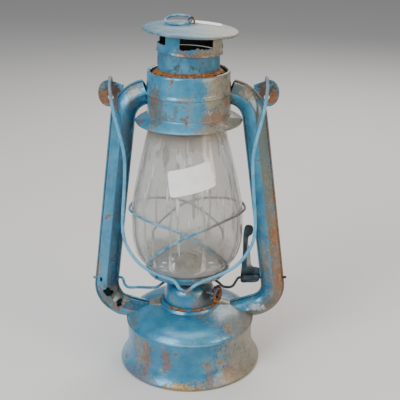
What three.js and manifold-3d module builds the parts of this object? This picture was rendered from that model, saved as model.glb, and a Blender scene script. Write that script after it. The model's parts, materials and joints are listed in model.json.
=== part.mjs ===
// A tubular hurricane lantern: a fuel fount, two air tubes, a hood and crown, a glass globe on a
// lifting plate, its wire guard and lift lever, a wick burner, a filler and a wire bail.
// Units are millimetres. +Z is up, the front is -Y, and the origin is the centre of the foot.
import * as THREE from "three";
import { mergeVertices } from "three/addons/utils/BufferGeometryUtils.js";
import Module from "manifold-3d";

const wasm = await Module();
wasm.setup();

// ---- Driving dimensions -------------------------------------------------------------------
const GAP = 0.3; // between pieces that touch
const SHEET = 0.7; // the sheet steel of every stamping

// Fount
const FOOT_R = 63;
const FOOT_FACE = 2.6; // width of the flat ring the lantern stands on
const FOOT_ROLL = 3.6; // height of the rolled foot
const WALL_R = 56.3;
const WALL_WAIST = 0.6; // how much the wall narrows at its waist
const SKIRT_TOP = 17;
const WALL_TOP = 39.6;
const FLOOR_Z = 8;
const SHOULDER_BEAD = 0.9;
const DOME_RISE = 13; // from the shoulder bead to the dome's crest
const DOME_CREST_R = 27;
const DOME_BULGE = [50, 1.4]; // radius of the bulge, and how far it lies under the crest
const COLLAR_STEP = 2.2;
const COLLAR_SEAT_R = 25.6;

// Air chamber and burner
const BELL_R = 22.6;
const BELL_HEIGHT = 18.6;
const BELL_MOUTH_R = 15.2;
const COLLAR_RING_WIDTH = 2.5;
const DUCT_HALF_WIDTH = 8;
const DUCT_HEIGHT = 5;
const DUCT_RISE = 0.6; // top of a duct above the bell's foot
const DUCT_REACH = 36.2;
const DUCT_FALL = 0.34; // how much the ducts fall outwards, mm per mm
const BURNER_R = 13.2;
const BURNER_TURN = -30; // degrees, from +X to the wick's width
const BURNER_TOP = 78.4;
const CONE_R = 13.6;
const CONE_TOP = 102;
const CONE_WALL_TOP = 88;
const CONE_SLOT = 5;
const WICK_WIDTH = 14;
const WICK_THICK = 1.6;
const WICK_FOOT_Z = 14;
const WICK_TIP = 1.6; // above its tube
const WICK_TUBE_TOP = 96;
const SHAFT_R = 1.2;
const SHAFT_Z = 70.8;
const SHAFT_REACH = 29.7;
const RATCHET_R = 3.2;
const RATCHET_TEETH = 10;
const RATCHET_WIDTH = 2;
const KNOB_R = 7.5;
const KNOB_THICK = 4.2;
const KNOB_NOTCHES = 12;

// Filler, on the back of the dome
const FILLER_DISTANCE = 40.5;
const FILLER_TILT = 15; // degrees
const FILLER_BORE = 7.6;
const FILLER_NECK_HEIGHT = 5.4;
const CAP_SKIRT = 5;
const CAP_RIBS = 16;
const GASKET_THICK = 1.2;

// Air tubes
const TUBE_WIDTH = 17.5;
const TUBE_DEPTH = 18;
const TUBE_FIN = 1.7;
const TUBE_ARCH = [[0.94, 0.42], [0.7, 0.8], [0.22, 1]]; // shares of half width and half depth
const TUBE_FOOT = new THREE.Vector2(38.4, 47);
const TUBE_ELBOW = new THREE.Vector2(76.3, 55.1);
const TUBE_ELBOW_BEND = 20;
const TUBE_TOP_BEND = 24;
const TUBE_TOP_CORNER_X = 52.2;
const TUBE_FOOT_SQUASH = 0.85; // the tube is pressed flatter where it meets the fount

// Hood
const HOOD_Z = 223.6;
const HOOD_FLANGE = 9.6; // how far the flange reaches out from the wall
const HOOD_FLANGE_RISE = 6.4;
const HOOD_AIRWAY = 9.5; // from the chimney to the hood's wall
const HOOD_RIB_Z = 248.6;
const HOOD_RIB = 0.9;
const HOOD_TOP_Z = 266;
const HOOD_PORT_R = 6.4;
const HOOD_RIM = 3.5; // width of the rolled rim
const HOOD_LIP = 2.2; // depth of the rim's inner lip
const HOOD_DISH = 4.6; // from the rim down to the foot of the perforated cone
const HOOD_CONE_RISE = 5.6; // from its foot up to the chimney
const HOOD_VENTS = 18;
const HOOD_VENT_R = 2;
const TUBE_JOINT_Z = 248.3;

// Crown
const CHIMNEY_R = 25.4;
const CHIMNEY_TOP = 286; // before the collar's slant is cut from it
const HOLDER_R = 33;
const HOLDER_LIP = 5;
const CROWN_Z = 281.6; // where the collar meets the chimney
const CROWN_SHIFT = 0.9;
const CROWN_LEAN = 3.4; // degrees: the crown of this worn lantern leans to +X
const CROWN_COLLAR_OUT = 1.3; // from the chimney to the collar's face
const CROWN_COLLAR_HEIGHT = 17;
const CROWN_SILL = 6.6; // height of the collar below its windows
const CROWN_WINDOWS = 4;
const CROWN_WINDOW_WIDTH = 28;
const CROWN_WINDOW_TURN = 12; // degrees
const CAP_R = 38.4;
const CAP_DOME = 3.8;
const CAP_EDGE = 1.8;
const LIFT_RING_R = 10.6;
const LIFT_RING_WIRE = 1;
const LIFT_RING_SLACK = 2.1; // from the cap to the ring, in its staple
const LIFT_RING_TILT = 11; // degrees: the ring's back rides up
const STAPLE_WIRE = 0.8;

// Globe, plate and guard
const CARRIER_SHIFT = -1.8; // the plate, globe and guard sit a little towards -X
const PLATE_Z = 87.4;
const PLATE_RIM_R = 36.6;
const PLATE_RIM_TOP = 94.3;
const PLATE_HOLE_R = 16.4;
const PLATE_VENTS = 14;
const PLATE_VENT_R = 2.6;
const GLASS = 1.6;
const GLOBE_TOP = 221.8;
const GLOBE_MOUTH_R = 31.8;
const GLOBE_BELLY_R = 48.1;
const GLOBE_FOOT_R = 32.4;
const GUARD_WIRE = 1.1;
const GUARD_OUT = 1.9; // from the globe to the cage that the two wires make round it
const GUARD_SAG = 10; // the guard's back hangs lower than its front
const LABEL_THICK = 0.4;
const GLASS_LABEL = { width: 38, height: 21, lean: 12, turn: 6, z: 184.5 }; // angles in degrees
const CAP_LABEL = { width: 24, height: 19, x: 13, y: 11.5 };

// Lift lever and crank
const CRANK_Z = 78.7;
const CRANK_WIRE = 1.2;
const CRANK_END = 85.6;
const CRANK_THROW = 20;
const CRANK_LIFT_Y = 17; // where the wire lifts the plate, in front of its hinge
const CRANK_CONE_Y = 22; // where the wire passes the burner cone
const LEVER_TOP = 128;
const LEVER_FOOT = 72;
const LEVER_THICK = 1.1;
const LEVER_CLEAR = 11.45; // from the lever's middle line to the tube's fin at its elbow
const BARREL_LENGTH = 14;
const BARREL_WALL = 0.9;

// Bail and its ears
const EAR_X = 66;
const EAR_Z = 246.5;
const EAR_HALF_WIDTH = 8.6;
const EAR_HALF_HEIGHT = 11.2;
const EAR_THICK = 1.4;
const EAR_HOLE_R = 2.4;
const EYE_X = 64.2;
const EYE_R = 8.3;
const BAIL_WIRE = 1.4;
const BAIL_SLOPE = 0.2; // how far the hanging bail leans forwards, mm per mm

const MERGE = 1e-4;
const RING = 28; // sides of a large round piece
const RING_SMALL = 16;
const WIRE_SIDES = 6;

// ---- Helpers ------------------------------------------------------------------------------
const radians = THREE.MathUtils.degToRad;
const v2 = (x, y) => new THREE.Vector2(x, y);
const v3 = (x, y, z) => new THREE.Vector3(x, y, z);

function toSolid(geometry) {
  const bare = new THREE.BufferGeometry();
  bare.setAttribute("position", geometry.getAttribute("position"));
  bare.setIndex(geometry.getIndex());
  const merged = mergeVertices(bare, MERGE);
  const triVerts = new Uint32Array(merged.getIndex().array);
  const vertProperties = merged.getAttribute("position").array;
  return new wasm.Manifold(new wasm.Mesh({ numProp: 3, vertProperties, triVerts }));
}

function toGeometry(solid) {
  const mesh = solid.getMesh();
  const positions = new Float32Array(mesh.numVert * 3);
  for (let i = 0; i < mesh.numVert; i++) {
    positions.set(mesh.vertProperties.subarray(i * mesh.numProp, i * mesh.numProp + 3), i * 3);
  }
  const geometry = new THREE.BufferGeometry();
  geometry.setAttribute("position", new THREE.BufferAttribute(positions, 3));
  geometry.setIndex(new THREE.BufferAttribute(mesh.triVerts, 1));
  geometry.computeVertexNormals();
  return geometry;
}

const cut = (geometry, ...tools) =>
  toGeometry(tools.reduce((solid, tool) => solid.subtract(toSolid(tool)), toSolid(geometry)));
const join = (geometry, ...others) =>
  toGeometry(others.reduce((solid, other) => solid.add(toSolid(other)), toSolid(geometry)));

// A polyline moved to its left by a distance, with mitred corners.
function offsetLine(points, distance) {
  const normals = [];
  for (let i = 0; i + 1 < points.length; i++) {
    const along = points[i + 1].clone().sub(points[i]).normalize();
    normals.push(v2(-along.y, along.x));
  }
  return points.map((point, i) => {
    const before = normals[Math.max(i - 1, 0)];
    const after = normals[Math.min(i, normals.length - 1)];
    const mitre = before.clone().add(after);
    return point.clone().addScaledVector(mitre, (2 * distance) / mitre.lengthSq());
  });
}

// A sheet of even thickness whose outer face follows a line, as a closed outline.
const sheetOutline = (line, thickness = SHEET) => [...line, ...offsetLine(line, thickness).reverse()];

// Turns a profile of (radius, height) points round the Z axis. An outer face runs upwards.
function turned(profile, sides = RING) {
  return new THREE.LatheGeometry(profile, sides).rotateX(Math.PI / 2);
}
const turnedRing = (outline, sides = RING) => turned([...outline, outline[0]], sides);
const turnedSheet = (line, sides = RING) => turnedRing(sheetOutline(line), sides);

// The solid inside an outer line, closed to the axis at both ends.
const turnedCore = (line, sides = RING) =>
  turned([v2(0, line[0].y), ...line, v2(0, line.at(-1).y)], sides);

const curved = (from, control, to, steps) =>
  new THREE.QuadraticBezierCurve(from, control, to).getPoints(steps);

function cylinderAlong(axis, radius, length, sides = 16) {
  const geometry = new THREE.CylinderGeometry(radius, radius, length, sides);
  if (axis === "z") geometry.rotateX(Math.PI / 2);
  if (axis === "x") geometry.rotateZ(Math.PI / 2);
  return geometry;
}

const circleShape = (radius, sides) =>
  new THREE.Shape(
    Array.from({ length: sides }, (_, i) => {
      const angle = (2 * Math.PI * i) / sides;
      return v2(radius * Math.cos(angle), radius * Math.sin(angle));
    }),
  );

// Round wire bent through a list of points.
function wire(points, radius, steps, sides = WIRE_SIDES) {
  const extrudePath = new THREE.CatmullRomCurve3(points, false, "centripetal");
  return new THREE.ExtrudeGeometry(circleShape(radius, sides), { steps, extrudePath });
}

// A plate lying in the XZ plane, centred on y.
function uprightPlate(shape, thickness, y = 0, curveSegments = 8) {
  const settings = { depth: thickness, bevelEnabled: false, curveSegments };
  const geometry = new THREE.ExtrudeGeometry(shape, settings);
  return geometry.rotateX(Math.PI / 2).translate(0, y + thickness / 2, 0);
}

// A route in the XZ plane with mitred stations. The section's x points to the front (-Y) and its y
// points outwards, away from the lantern's axis on a route that climbs on the +X side.
class FlatRoute extends THREE.Curve {
  constructor(stations) {
    super();
    this.stations = stations;
  }
  getSpacedPoints() {
    return this.stations.map(({ at }) => v3(at.x, 0, at.y));
  }
  computeFrenetFrames() {
    const last = this.stations.length - 1;
    const heading = (i) => {
      const from = this.stations[Math.max(i, 0)].at;
      return this.stations[Math.min(i + 1, last)].at.clone().sub(from).normalize();
    };
    const frames = { tangents: [], normals: [], binormals: [] };
    this.stations.forEach(({ width }, i) => {
      const before = heading(Math.min(Math.max(i - 1, 0), last - 1));
      const after = heading(Math.min(i, last - 1));
      const along = before.clone().add(after).normalize();
      const stretch = width / along.dot(after);
      frames.tangents.push(v3(along.x, 0, along.y));
      frames.normals.push(v3(0, -1, 0));
      frames.binormals.push(v3(along.y, 0, -along.x).multiplyScalar(stretch));
    });
    return frames;
  }
}

// Points along the arc that rounds a corner between two straight runs.
function roundedCorner(from, corner, to, radius, steps) {
  const inward = corner.clone().sub(from).normalize();
  const outward = to.clone().sub(corner).normalize();
  const turn = Math.acos(inward.dot(outward));
  const reach = radius * Math.tan(turn / 2);
  const start = corner.clone().addScaledVector(inward, -reach);
  const side = Math.sign(inward.cross(outward));
  const centre = start.clone().add(v2(-inward.y, inward.x).multiplyScalar(side * radius));
  return Array.from({ length: steps + 1 }, (_, i) =>
    start.clone().rotateAround(centre, (side * turn * i) / steps),
  );
}

const lantern = new THREE.Group();
const crownTilted = new THREE.Group();
const carrier = new THREE.Group();
const burner = new THREE.Group();
const filler = new THREE.Group();
lantern.add(crownTilted, carrier, burner, filler);

function finish(color, roughness, metalness, extra = {}) {
  return { color, roughness, metalness, ...extra };
}
const BLUE = finish(0x4f9dbd, 0.5, 0.25);
const FADED = finish(0x8aa4ad, 0.65, 0.2);
const RUST = finish(0xa86a34, 0.85, 0.2);
const DARK = finish(0x24282b, 0.6, 0.5);
const STEEL = finish(0x8c8f90, 0.45, 0.8);
const BRASS = finish(0x9a7f45, 0.5, 0.8);
const CLEAR = finish(0xdfe6e2, 0.1, 0, { transparent: true, opacity: 0.35 });
const PAPER = finish(0xe8e4de, 0.8, 0);
const COTTON = finish(0xd9cdb2, 0.95, 0);
const CORK = finish(0x6f5840, 0.95, 0);

function piece(name, geometry, look, parent = lantern) {
  const mesh = new THREE.Mesh(geometry, new THREE.MeshStandardMaterial(look));
  mesh.name = name;
  parent.add(mesh);
  return mesh;
}

// ---- Fount --------------------------------------------------------------------------------
const footInner = FOOT_R - FOOT_FACE;
const wallLine = [
  v2(FOOT_R - 0.2, 0),
  v2(FOOT_R, FOOT_ROLL / 2),
  v2(FOOT_R - 0.6, FOOT_ROLL),
  ...curved(v2(FOOT_R - 3, FOOT_ROLL + 3.2), v2(WALL_R + 0.8, SKIRT_TOP - 5), v2(WALL_R, SKIRT_TOP), 3),
  v2(WALL_R - WALL_WAIST, (SKIRT_TOP + WALL_TOP) / 2),
  v2(WALL_R, WALL_TOP - 1),
  v2(WALL_R, WALL_TOP),
];
const wallInner = offsetLine(wallLine, SHEET).slice(3);
piece(
  "fount_wall",
  turnedRing([...wallLine, ...wallInner.reverse(), v2(footInner, FOOT_ROLL), v2(footInner, 0)]),
  BLUE,
);

const wallInnerR = WALL_R - WALL_WAIST - SHEET - GAP;
piece(
  "fount_floor",
  turnedRing([
    v2(0, FLOOR_Z),
    v2(wallInnerR - SHEET, FLOOR_Z),
    v2(wallInnerR - 0.4, FLOOR_Z + SKIRT_TOP - 4),
    v2(wallInnerR - 0.4, FLOOR_Z + SKIRT_TOP),
    v2(wallInnerR - 0.4 - SHEET, FLOOR_Z + SKIRT_TOP),
    v2(wallInnerR - 2 * SHEET, FLOOR_Z + SHEET),
    v2(0, FLOOR_Z + SHEET),
  ]),
  STEEL,
);

const beadZ = WALL_TOP + GAP;
const crestZ = beadZ + 1.7 + DOME_RISE;
const domeLine = [
  v2(WALL_R + SHOULDER_BEAD, beadZ),
  v2(WALL_R + SHOULDER_BEAD, beadZ + 1),
  ...curved(
    v2(WALL_R, beadZ + 1.7),
    v2(DOME_BULGE[0], crestZ - DOME_BULGE[1]),
    v2(DOME_CREST_R, crestZ),
    5,
  ),
  v2(COLLAR_SEAT_R + 0.3, crestZ + COLLAR_STEP - 0.6),
  v2(COLLAR_SEAT_R, crestZ + COLLAR_STEP),
];
const seatZ = crestZ + COLLAR_STEP;
const burnerCollarR = BURNER_R + 2.4;
const domeOutline = [...domeLine, v2(burnerCollarR + GAP, seatZ), v2(burnerCollarR + GAP, seatZ - SHEET)];
const domeInner = offsetLine(domeLine, SHEET).slice(2).reverse();
domeInner[0].y = seatZ - SHEET;
const domeShell = turnedRing([...domeOutline, ...domeInner, v2(WALL_R - SHEET, beadZ)]);

// What stays clear of the dome: everything below its outer face and a gap.
const domeEnvelope = turnedCore(offsetLine([v2(WALL_R + SHOULDER_BEAD, 0), ...domeLine], -GAP));

// The filler stands square to the dome at its place on the back.
const fillerSeat = domeLine.find((p, i) => domeLine[i + 1] && domeLine[i + 1].x <= FILLER_DISTANCE);
filler.position.set(0, FILLER_DISTANCE, fillerSeat.y + 0.6);
filler.rotation.x = -radians(FILLER_TILT);
filler.updateMatrixWorld(true);
const fillerNeckR = FILLER_BORE + SHEET;
const fillerHole = cylinderAlong("z", fillerNeckR + GAP, 30).applyMatrix4(filler.matrixWorld);
piece("fount_dome", cut(domeShell, fillerHole), BLUE);

const neckFlange = fillerNeckR + 2.2;
const neckFlangeZ = 1.9;
piece(
  "filler_neck",
  turnedRing(
    [
      v2(FILLER_BORE, -4),
      v2(fillerNeckR, -4),
      v2(fillerNeckR, neckFlangeZ - SHEET),
      v2(neckFlange, neckFlangeZ - SHEET),
      v2(neckFlange, neckFlangeZ),
      v2(fillerNeckR, neckFlangeZ),
      v2(fillerNeckR, neckFlangeZ + FILLER_NECK_HEIGHT),
      v2(FILLER_BORE, neckFlangeZ + FILLER_NECK_HEIGHT),
    ],
    RING_SMALL,
  ),
  STEEL,
  filler,
);
const neckTop = neckFlangeZ + FILLER_NECK_HEIGHT;
const gasketZ = neckTop + GAP;
piece(
  "filler_gasket",
  turnedRing(
    [
      v2(FILLER_BORE - 2, gasketZ),
      v2(fillerNeckR, gasketZ),
      v2(fillerNeckR, gasketZ + GASKET_THICK),
      v2(FILLER_BORE - 2, gasketZ + GASKET_THICK),
    ],
    RING_SMALL,
  ),
  CORK,
  filler,
);
const capInnerR = fillerNeckR + GAP;
const capRoofZ = gasketZ + GASKET_THICK + GAP;
const capOuterR = capInnerR + SHEET;
const capBody = turned(
  [
    v2(0, capRoofZ),
    v2(capInnerR, capRoofZ),
    v2(capInnerR, capRoofZ - CAP_SKIRT),
    v2(capOuterR + 0.3, capRoofZ - CAP_SKIRT),
    v2(capOuterR, capRoofZ - CAP_SKIRT + 0.8),
    v2(capOuterR, capRoofZ + SHEET),
    v2(capOuterR - 1.4, capRoofZ + 1.4),
    v2(0, capRoofZ + 1.4),
  ],
  RING_SMALL,
);
const capRibs = Array.from({ length: CAP_RIBS }, (_, i) => {
  const rib = new THREE.BoxGeometry(1.1, 1, CAP_SKIRT - 1.6);
  rib.translate(capOuterR, 0, capRoofZ - CAP_SKIRT / 2 + 0.2);
  return rib.rotateZ((2 * Math.PI * i) / CAP_RIBS);
});
piece("filler_cap", join(capBody, ...capRibs), BLUE, filler);

// ---- Air chamber on the fount, with its two ducts -----------------------------------------
const bellZ = seatZ + GAP;
const bellTop = bellZ + BELL_HEIGHT;
const bellLine = [
  v2(BELL_R, bellZ),
  ...curved(
    v2(BELL_R + 0.4, bellZ + 3),
    v2(BELL_R, bellTop - 2.6),
    v2(BELL_MOUTH_R + 1.6, bellTop - 0.5),
    5,
  ),
  v2(BELL_MOUTH_R, bellTop),
];
const ringR = BELL_R + 0.4 + GAP;
piece(
  "fount_collar_ring",
  turnedRing([
    v2(ringR, bellZ),
    v2(ringR + COLLAR_RING_WIDTH - 0.3, bellZ),
    v2(ringR + COLLAR_RING_WIDTH, bellZ + 0.9),
    v2(ringR + COLLAR_RING_WIDTH - 0.9, bellZ + 2),
    v2(ringR, bellZ + 2),
  ]),
  RUST,
);

const bellCore = turnedCore(bellLine);
const bellHollow = turnedCore([
  v2(BELL_R - SHEET, bellZ - 1),
  ...offsetLine(bellLine, SHEET).slice(1, -1),
  v2(BELL_MOUTH_R, bellTop - SHEET),
  v2(BELL_MOUTH_R, bellTop + 1),
]);

burner.rotation.z = radians(BURNER_TURN);
burner.updateMatrixWorld(true);
const shaftY = -(WICK_THICK / 2 + GAP + RATCHET_R);
const shaftBore = cylinderAlong("x", SHAFT_R + 0.8, SHAFT_REACH);
shaftBore.translate(SHAFT_REACH / 2, shaftY, SHAFT_Z);
const chamberShaftHole = shaftBore.clone().applyMatrix4(burner.matrixWorld);
piece("air_chamber", cut(bellCore, bellHollow, chamberShaftHole), BLUE);

// A duct is a low arch over the dome, from the collar ring out to a tube's foot, falling outwards.
const ductStart = ringR + COLLAR_RING_WIDTH + GAP;
function ductBody(halfWidth, height, from, to) {
  const arch = new THREE.Shape();
  arch.absellipse(0, 0, halfWidth, height, 0, Math.PI, false);
  const settings = { depth: to - from, bevelEnabled: false, curveSegments: 8 };
  const geometry = new THREE.ExtrudeGeometry(arch, settings).rotateX(Math.PI / 2).rotateZ(Math.PI / 2);
  geometry.translate(from, 0, 0);
  const fall = new THREE.Matrix4().set(1, 0, 0, 0, 0, 1, 0, 0, -DUCT_FALL, 0, 1, 0, 0, 0, 0, 1);
  const springing = bellZ + DUCT_RISE - DUCT_HEIGHT;
  return geometry.applyMatrix4(fall).translate(0, 0, springing + DUCT_FALL * ductStart);
}
const ductOuter = ductBody(DUCT_HALF_WIDTH, DUCT_HEIGHT, ductStart, DUCT_REACH);
const ductInner = ductBody(DUCT_HALF_WIDTH - SHEET, DUCT_HEIGHT - SHEET, ductStart - 1, DUCT_REACH + 1);
const duct = cut(ductOuter, ductInner, domeEnvelope);
piece("air_duct_right", duct, BLUE);
piece("air_duct_left", duct, BLUE).scale.x = -1;

// ---- Burner, turned about the lantern's axis so that its knob shows at the front ------------
const collarR = BURNER_R + GAP;
piece(
  "burner_collar",
  turnedRing(
    [
      v2(collarR, seatZ - 4),
      v2(burnerCollarR, seatZ - 4),
      v2(burnerCollarR, seatZ + GAP),
      v2(burnerCollarR + 1.8, seatZ + GAP),
      v2(burnerCollarR + 1.8, seatZ + 1),
      v2(burnerCollarR - 0.6, seatZ + 1.6),
      v2(burnerCollarR - 0.6, seatZ + 4),
      v2(collarR, seatZ + 4),
    ],
    RING_SMALL,
  ),
  BRASS,
);

const tubeOuter = [WICK_WIDTH + 3, WICK_THICK + 2.4];
const tubeInner = [WICK_WIDTH + 2 * GAP, WICK_THICK + 2 * GAP];
const burnerFoot = seatZ - 3;
const tubeFoot = burnerFoot + 2;
const blockBetween = (size, low, high) =>
  new THREE.BoxGeometry(size[0], size[1], high - low).translate(0, 0, (low + high) / 2);
const galleryZ = BURNER_TOP - 1;
const burnerSolid = turnedRing(
  [
    v2(BURNER_R - 1.2, burnerFoot),
    v2(BURNER_R, burnerFoot),
    v2(BURNER_R, seatZ + 4.6),
    v2(BURNER_R + 1.6, seatZ + 4.6),
    v2(BURNER_R + 1.6, seatZ + 5.4),
    v2(BURNER_R - 0.8, seatZ + 6),
    v2(BURNER_R - 0.8, galleryZ - 0.6),
    v2(BURNER_R + 1.4, galleryZ),
    v2(BURNER_R + 1.4, BURNER_TOP),
    v2(tubeOuter[0] / 2 + 0.6, BURNER_TOP),
    v2(tubeOuter[0] / 2 + 0.6, galleryZ),
    v2(BURNER_R - 2, galleryZ - 0.8),
    v2(BURNER_R - 2, seatZ + 5),
    v2(BURNER_R - 1.2, seatZ + 4),
  ],
  RING_SMALL,
);
piece("burner_body", cut(burnerSolid, shaftBore), BRASS, burner);

const ratchetAt = WICK_WIDTH / 4;
const ratchetWindow = new THREE.BoxGeometry(RATCHET_WIDTH + 2 * GAP, 4, 2 * RATCHET_R);
const ratchetWindows = [-ratchetAt, ratchetAt].map((x) =>
  ratchetWindow.clone().translate(x, -WICK_THICK / 2 - 2.2, SHAFT_Z),
);
const tubeCollar = blockBetween([tubeOuter[0] - 0.6, tubeOuter[1] + 3], galleryZ - 2.2, galleryZ - 1.2);
piece(
  "wick_tube",
  cut(
    join(blockBetween(tubeOuter, tubeFoot, WICK_TUBE_TOP), tubeCollar),
    blockBetween(tubeInner, tubeFoot - 1, WICK_TUBE_TOP + 1),
    ...ratchetWindows,
  ),
  BRASS,
  burner,
);
const wickTop = WICK_TUBE_TOP + WICK_TIP;
piece("wick", blockBetween([WICK_WIDTH, WICK_THICK], WICK_FOOT_Z, wickTop), COTTON, burner);

const coneLine = [
  v2(CONE_R, BURNER_TOP + GAP),
  v2(CONE_R, CONE_WALL_TOP),
  ...curved(v2(CONE_R - 0.3, CONE_WALL_TOP + 2), v2(CONE_R - 1.5, CONE_TOP - 1.5), v2(4, CONE_TOP), 5),
];
const coneShell = turnedRing(
  [...coneLine, v2(0, CONE_TOP), v2(0, CONE_TOP - SHEET), ...offsetLine(coneLine, SHEET).reverse()],
  RING_SMALL,
);
const slot = blockBetween([WICK_WIDTH + 4, CONE_SLOT], CONE_TOP - 6, CONE_TOP + 1);
piece("burner_cone", cut(coneShell, slot), BRASS, burner);

const ratchetOutline = Array.from({ length: 2 * RATCHET_TEETH }, (_, i) => {
  const radius = i % 2 ? RATCHET_R : RATCHET_R - 0.7;
  return v2(radius, 0).rotateAround(v2(0, 0), (Math.PI * i) / RATCHET_TEETH);
});
const ratchetShape = new THREE.Shape(ratchetOutline);
ratchetShape.holes.push(new THREE.Path(circleShape(SHAFT_R + 0.05, 12).getPoints()));
const ratchet = new THREE.ExtrudeGeometry(ratchetShape, { depth: RATCHET_WIDTH, bevelEnabled: false });
ratchet.rotateY(Math.PI / 2).translate(-RATCHET_WIDTH / 2, 0, 0);
piece("wick_ratchet_left", ratchet.clone().translate(-ratchetAt, shaftY, SHAFT_Z), BRASS, burner);
piece("wick_ratchet_right", ratchet.clone().translate(ratchetAt, shaftY, SHAFT_Z), BRASS, burner);
const shaftStart = -WICK_WIDTH / 2;
const shaftLength = SHAFT_REACH + KNOB_THICK / 2 + 1 - shaftStart;
piece(
  "wick_shaft",
  cylinderAlong("x", SHAFT_R, shaftLength, 12).translate(shaftStart + shaftLength / 2, shaftY, SHAFT_Z),
  STEEL,
  burner,
);
const knobShape = new THREE.Shape(
  Array.from({ length: 4 * KNOB_NOTCHES }, (_, i) => {
    const radius = i % 4 < 2 ? KNOB_R : KNOB_R - 0.8;
    return v2(radius, 0).rotateAround(v2(0, 0), (2 * Math.PI * i) / (4 * KNOB_NOTCHES));
  }),
);
knobShape.holes.push(new THREE.Path(circleShape(SHAFT_R + 0.05, 12).getPoints()));
const knob = new THREE.ExtrudeGeometry(knobShape, { depth: KNOB_THICK, bevelEnabled: false });
knob.rotateY(Math.PI / 2).translate(SHAFT_REACH - KNOB_THICK / 2, shaftY, SHAFT_Z);
const knobHollow = turned([v2(0, 0), v2(KNOB_R - 2, 0), v2(KNOB_R - 3, 2.6), v2(0, 2.6)], RING_SMALL);
knobHollow.rotateY(Math.PI / 2).translate(SHAFT_REACH - KNOB_THICK / 2 - 1, shaftY, SHAFT_Z);
const knobHub = cylinderAlong("x", SHAFT_R + 1.4, KNOB_THICK).translate(SHAFT_REACH, shaftY, SHAFT_Z);
const knobBore = cylinderAlong("x", SHAFT_R + 0.05, KNOB_THICK + 2).translate(SHAFT_REACH, shaftY, SHAFT_Z);
piece("wick_knob", cut(join(cut(knob, knobHollow), knobHub), knobBore), RUST, burner);

// ---- Hood ---------------------------------------------------------------------------------
const hoodWallR = CHIMNEY_R + HOOD_AIRWAY;
const flangeTop = HOOD_Z + HOOD_FLANGE_RISE;
const hoodLine = [
  v2(hoodWallR + HOOD_FLANGE, HOOD_Z),
  v2(hoodWallR + HOOD_FLANGE, HOOD_Z + 0.9),
  v2(hoodWallR + 0.4, flangeTop - 0.4),
  v2(hoodWallR - 0.3, flangeTop + 0.8),
  v2(hoodWallR, HOOD_RIB_Z - 1.8),
  v2(hoodWallR + HOOD_RIB, HOOD_RIB_Z),
  v2(hoodWallR, HOOD_RIB_Z + 1.8),
  v2(hoodWallR - 0.6, HOOD_TOP_Z - 2.8),
  v2(hoodWallR - 1.5, HOOD_TOP_Z - 0.7),
  v2(hoodWallR - 2.4, HOOD_TOP_Z),
  v2(hoodWallR - HOOD_RIM, HOOD_TOP_Z - 0.8),
  v2(hoodWallR - HOOD_RIM, HOOD_TOP_Z - HOOD_LIP),
];
const hoodEnvelope = turnedCore(offsetLine(hoodLine.slice(0, -2), -GAP));
const hoodPorts = cylinderAlong("x", HOOD_PORT_R, 2 * hoodWallR + 4, 14).translate(0, 0, TUBE_JOINT_Z);
piece("hood", cut(turnedSheet(hoodLine), hoodPorts), BLUE);

const ventRing = (count, at, radius, z) =>
  Array.from({ length: count }, (_, i) => {
    const hole = cylinderAlong("z", radius, 4 * radius, 7).translate(at, 0, z);
    return hole.rotateZ((2 * Math.PI * (i + 0.5)) / count);
  });
const dishZ = HOOD_TOP_Z - HOOD_DISH;
const coneZ = dishZ + HOOD_CONE_RISE;
const neckHoleR = CHIMNEY_R + 0.5;
const dishOuter = hoodWallR - 0.6 - SHEET - GAP;
const hoodTop = turnedRing([
  v2(neckHoleR, coneZ - SHEET),
  v2(dishOuter, dishZ - SHEET),
  v2(dishOuter, dishZ),
  v2(neckHoleR + SHEET, coneZ),
  v2(neckHoleR + SHEET, coneZ + 1),
  v2(neckHoleR, coneZ + 1),
]);
const hoodVents = ventRing(HOOD_VENTS, (neckHoleR + dishOuter) / 2, HOOD_VENT_R, (dishZ + coneZ) / 2);
piece("hood_top", cut(hoodTop, ...hoodVents), FADED);

// ---- Air tubes: each is a front and a back stamping, crimped along both edges ---------------
const tubeCorner = v2(TUBE_TOP_CORNER_X, TUBE_JOINT_Z);
const tubeEnd = v2(hoodWallR - TUBE_WIDTH / 3, TUBE_JOINT_Z);
const elbow = roundedCorner(TUBE_FOOT, TUBE_ELBOW, tubeCorner, TUBE_ELBOW_BEND, 5);
const shoulder = roundedCorner(TUBE_ELBOW, tubeCorner, v2(0, TUBE_JOINT_Z), TUBE_TOP_BEND, 6);
const tubeStations = [
  { at: TUBE_FOOT, width: TUBE_FOOT_SQUASH },
  ...elbow.map((at, i) => ({ at, width: i === 0 ? (1 + TUBE_FOOT_SQUASH) / 2 : 1 })),
  { at: elbow.at(-1).clone().lerp(shoulder[0], 0.5), width: 1 },
  ...shoulder.filter((at) => at.x > tubeEnd.x).map((at) => ({ at, width: 1 })),
  { at: tubeEnd, width: 1 },
];
const tubeRoute = new FlatRoute(tubeStations);
const sweep = (shape) =>
  new THREE.ExtrudeGeometry(shape, { steps: tubeStations.length - 1, extrudePath: tubeRoute });

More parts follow.
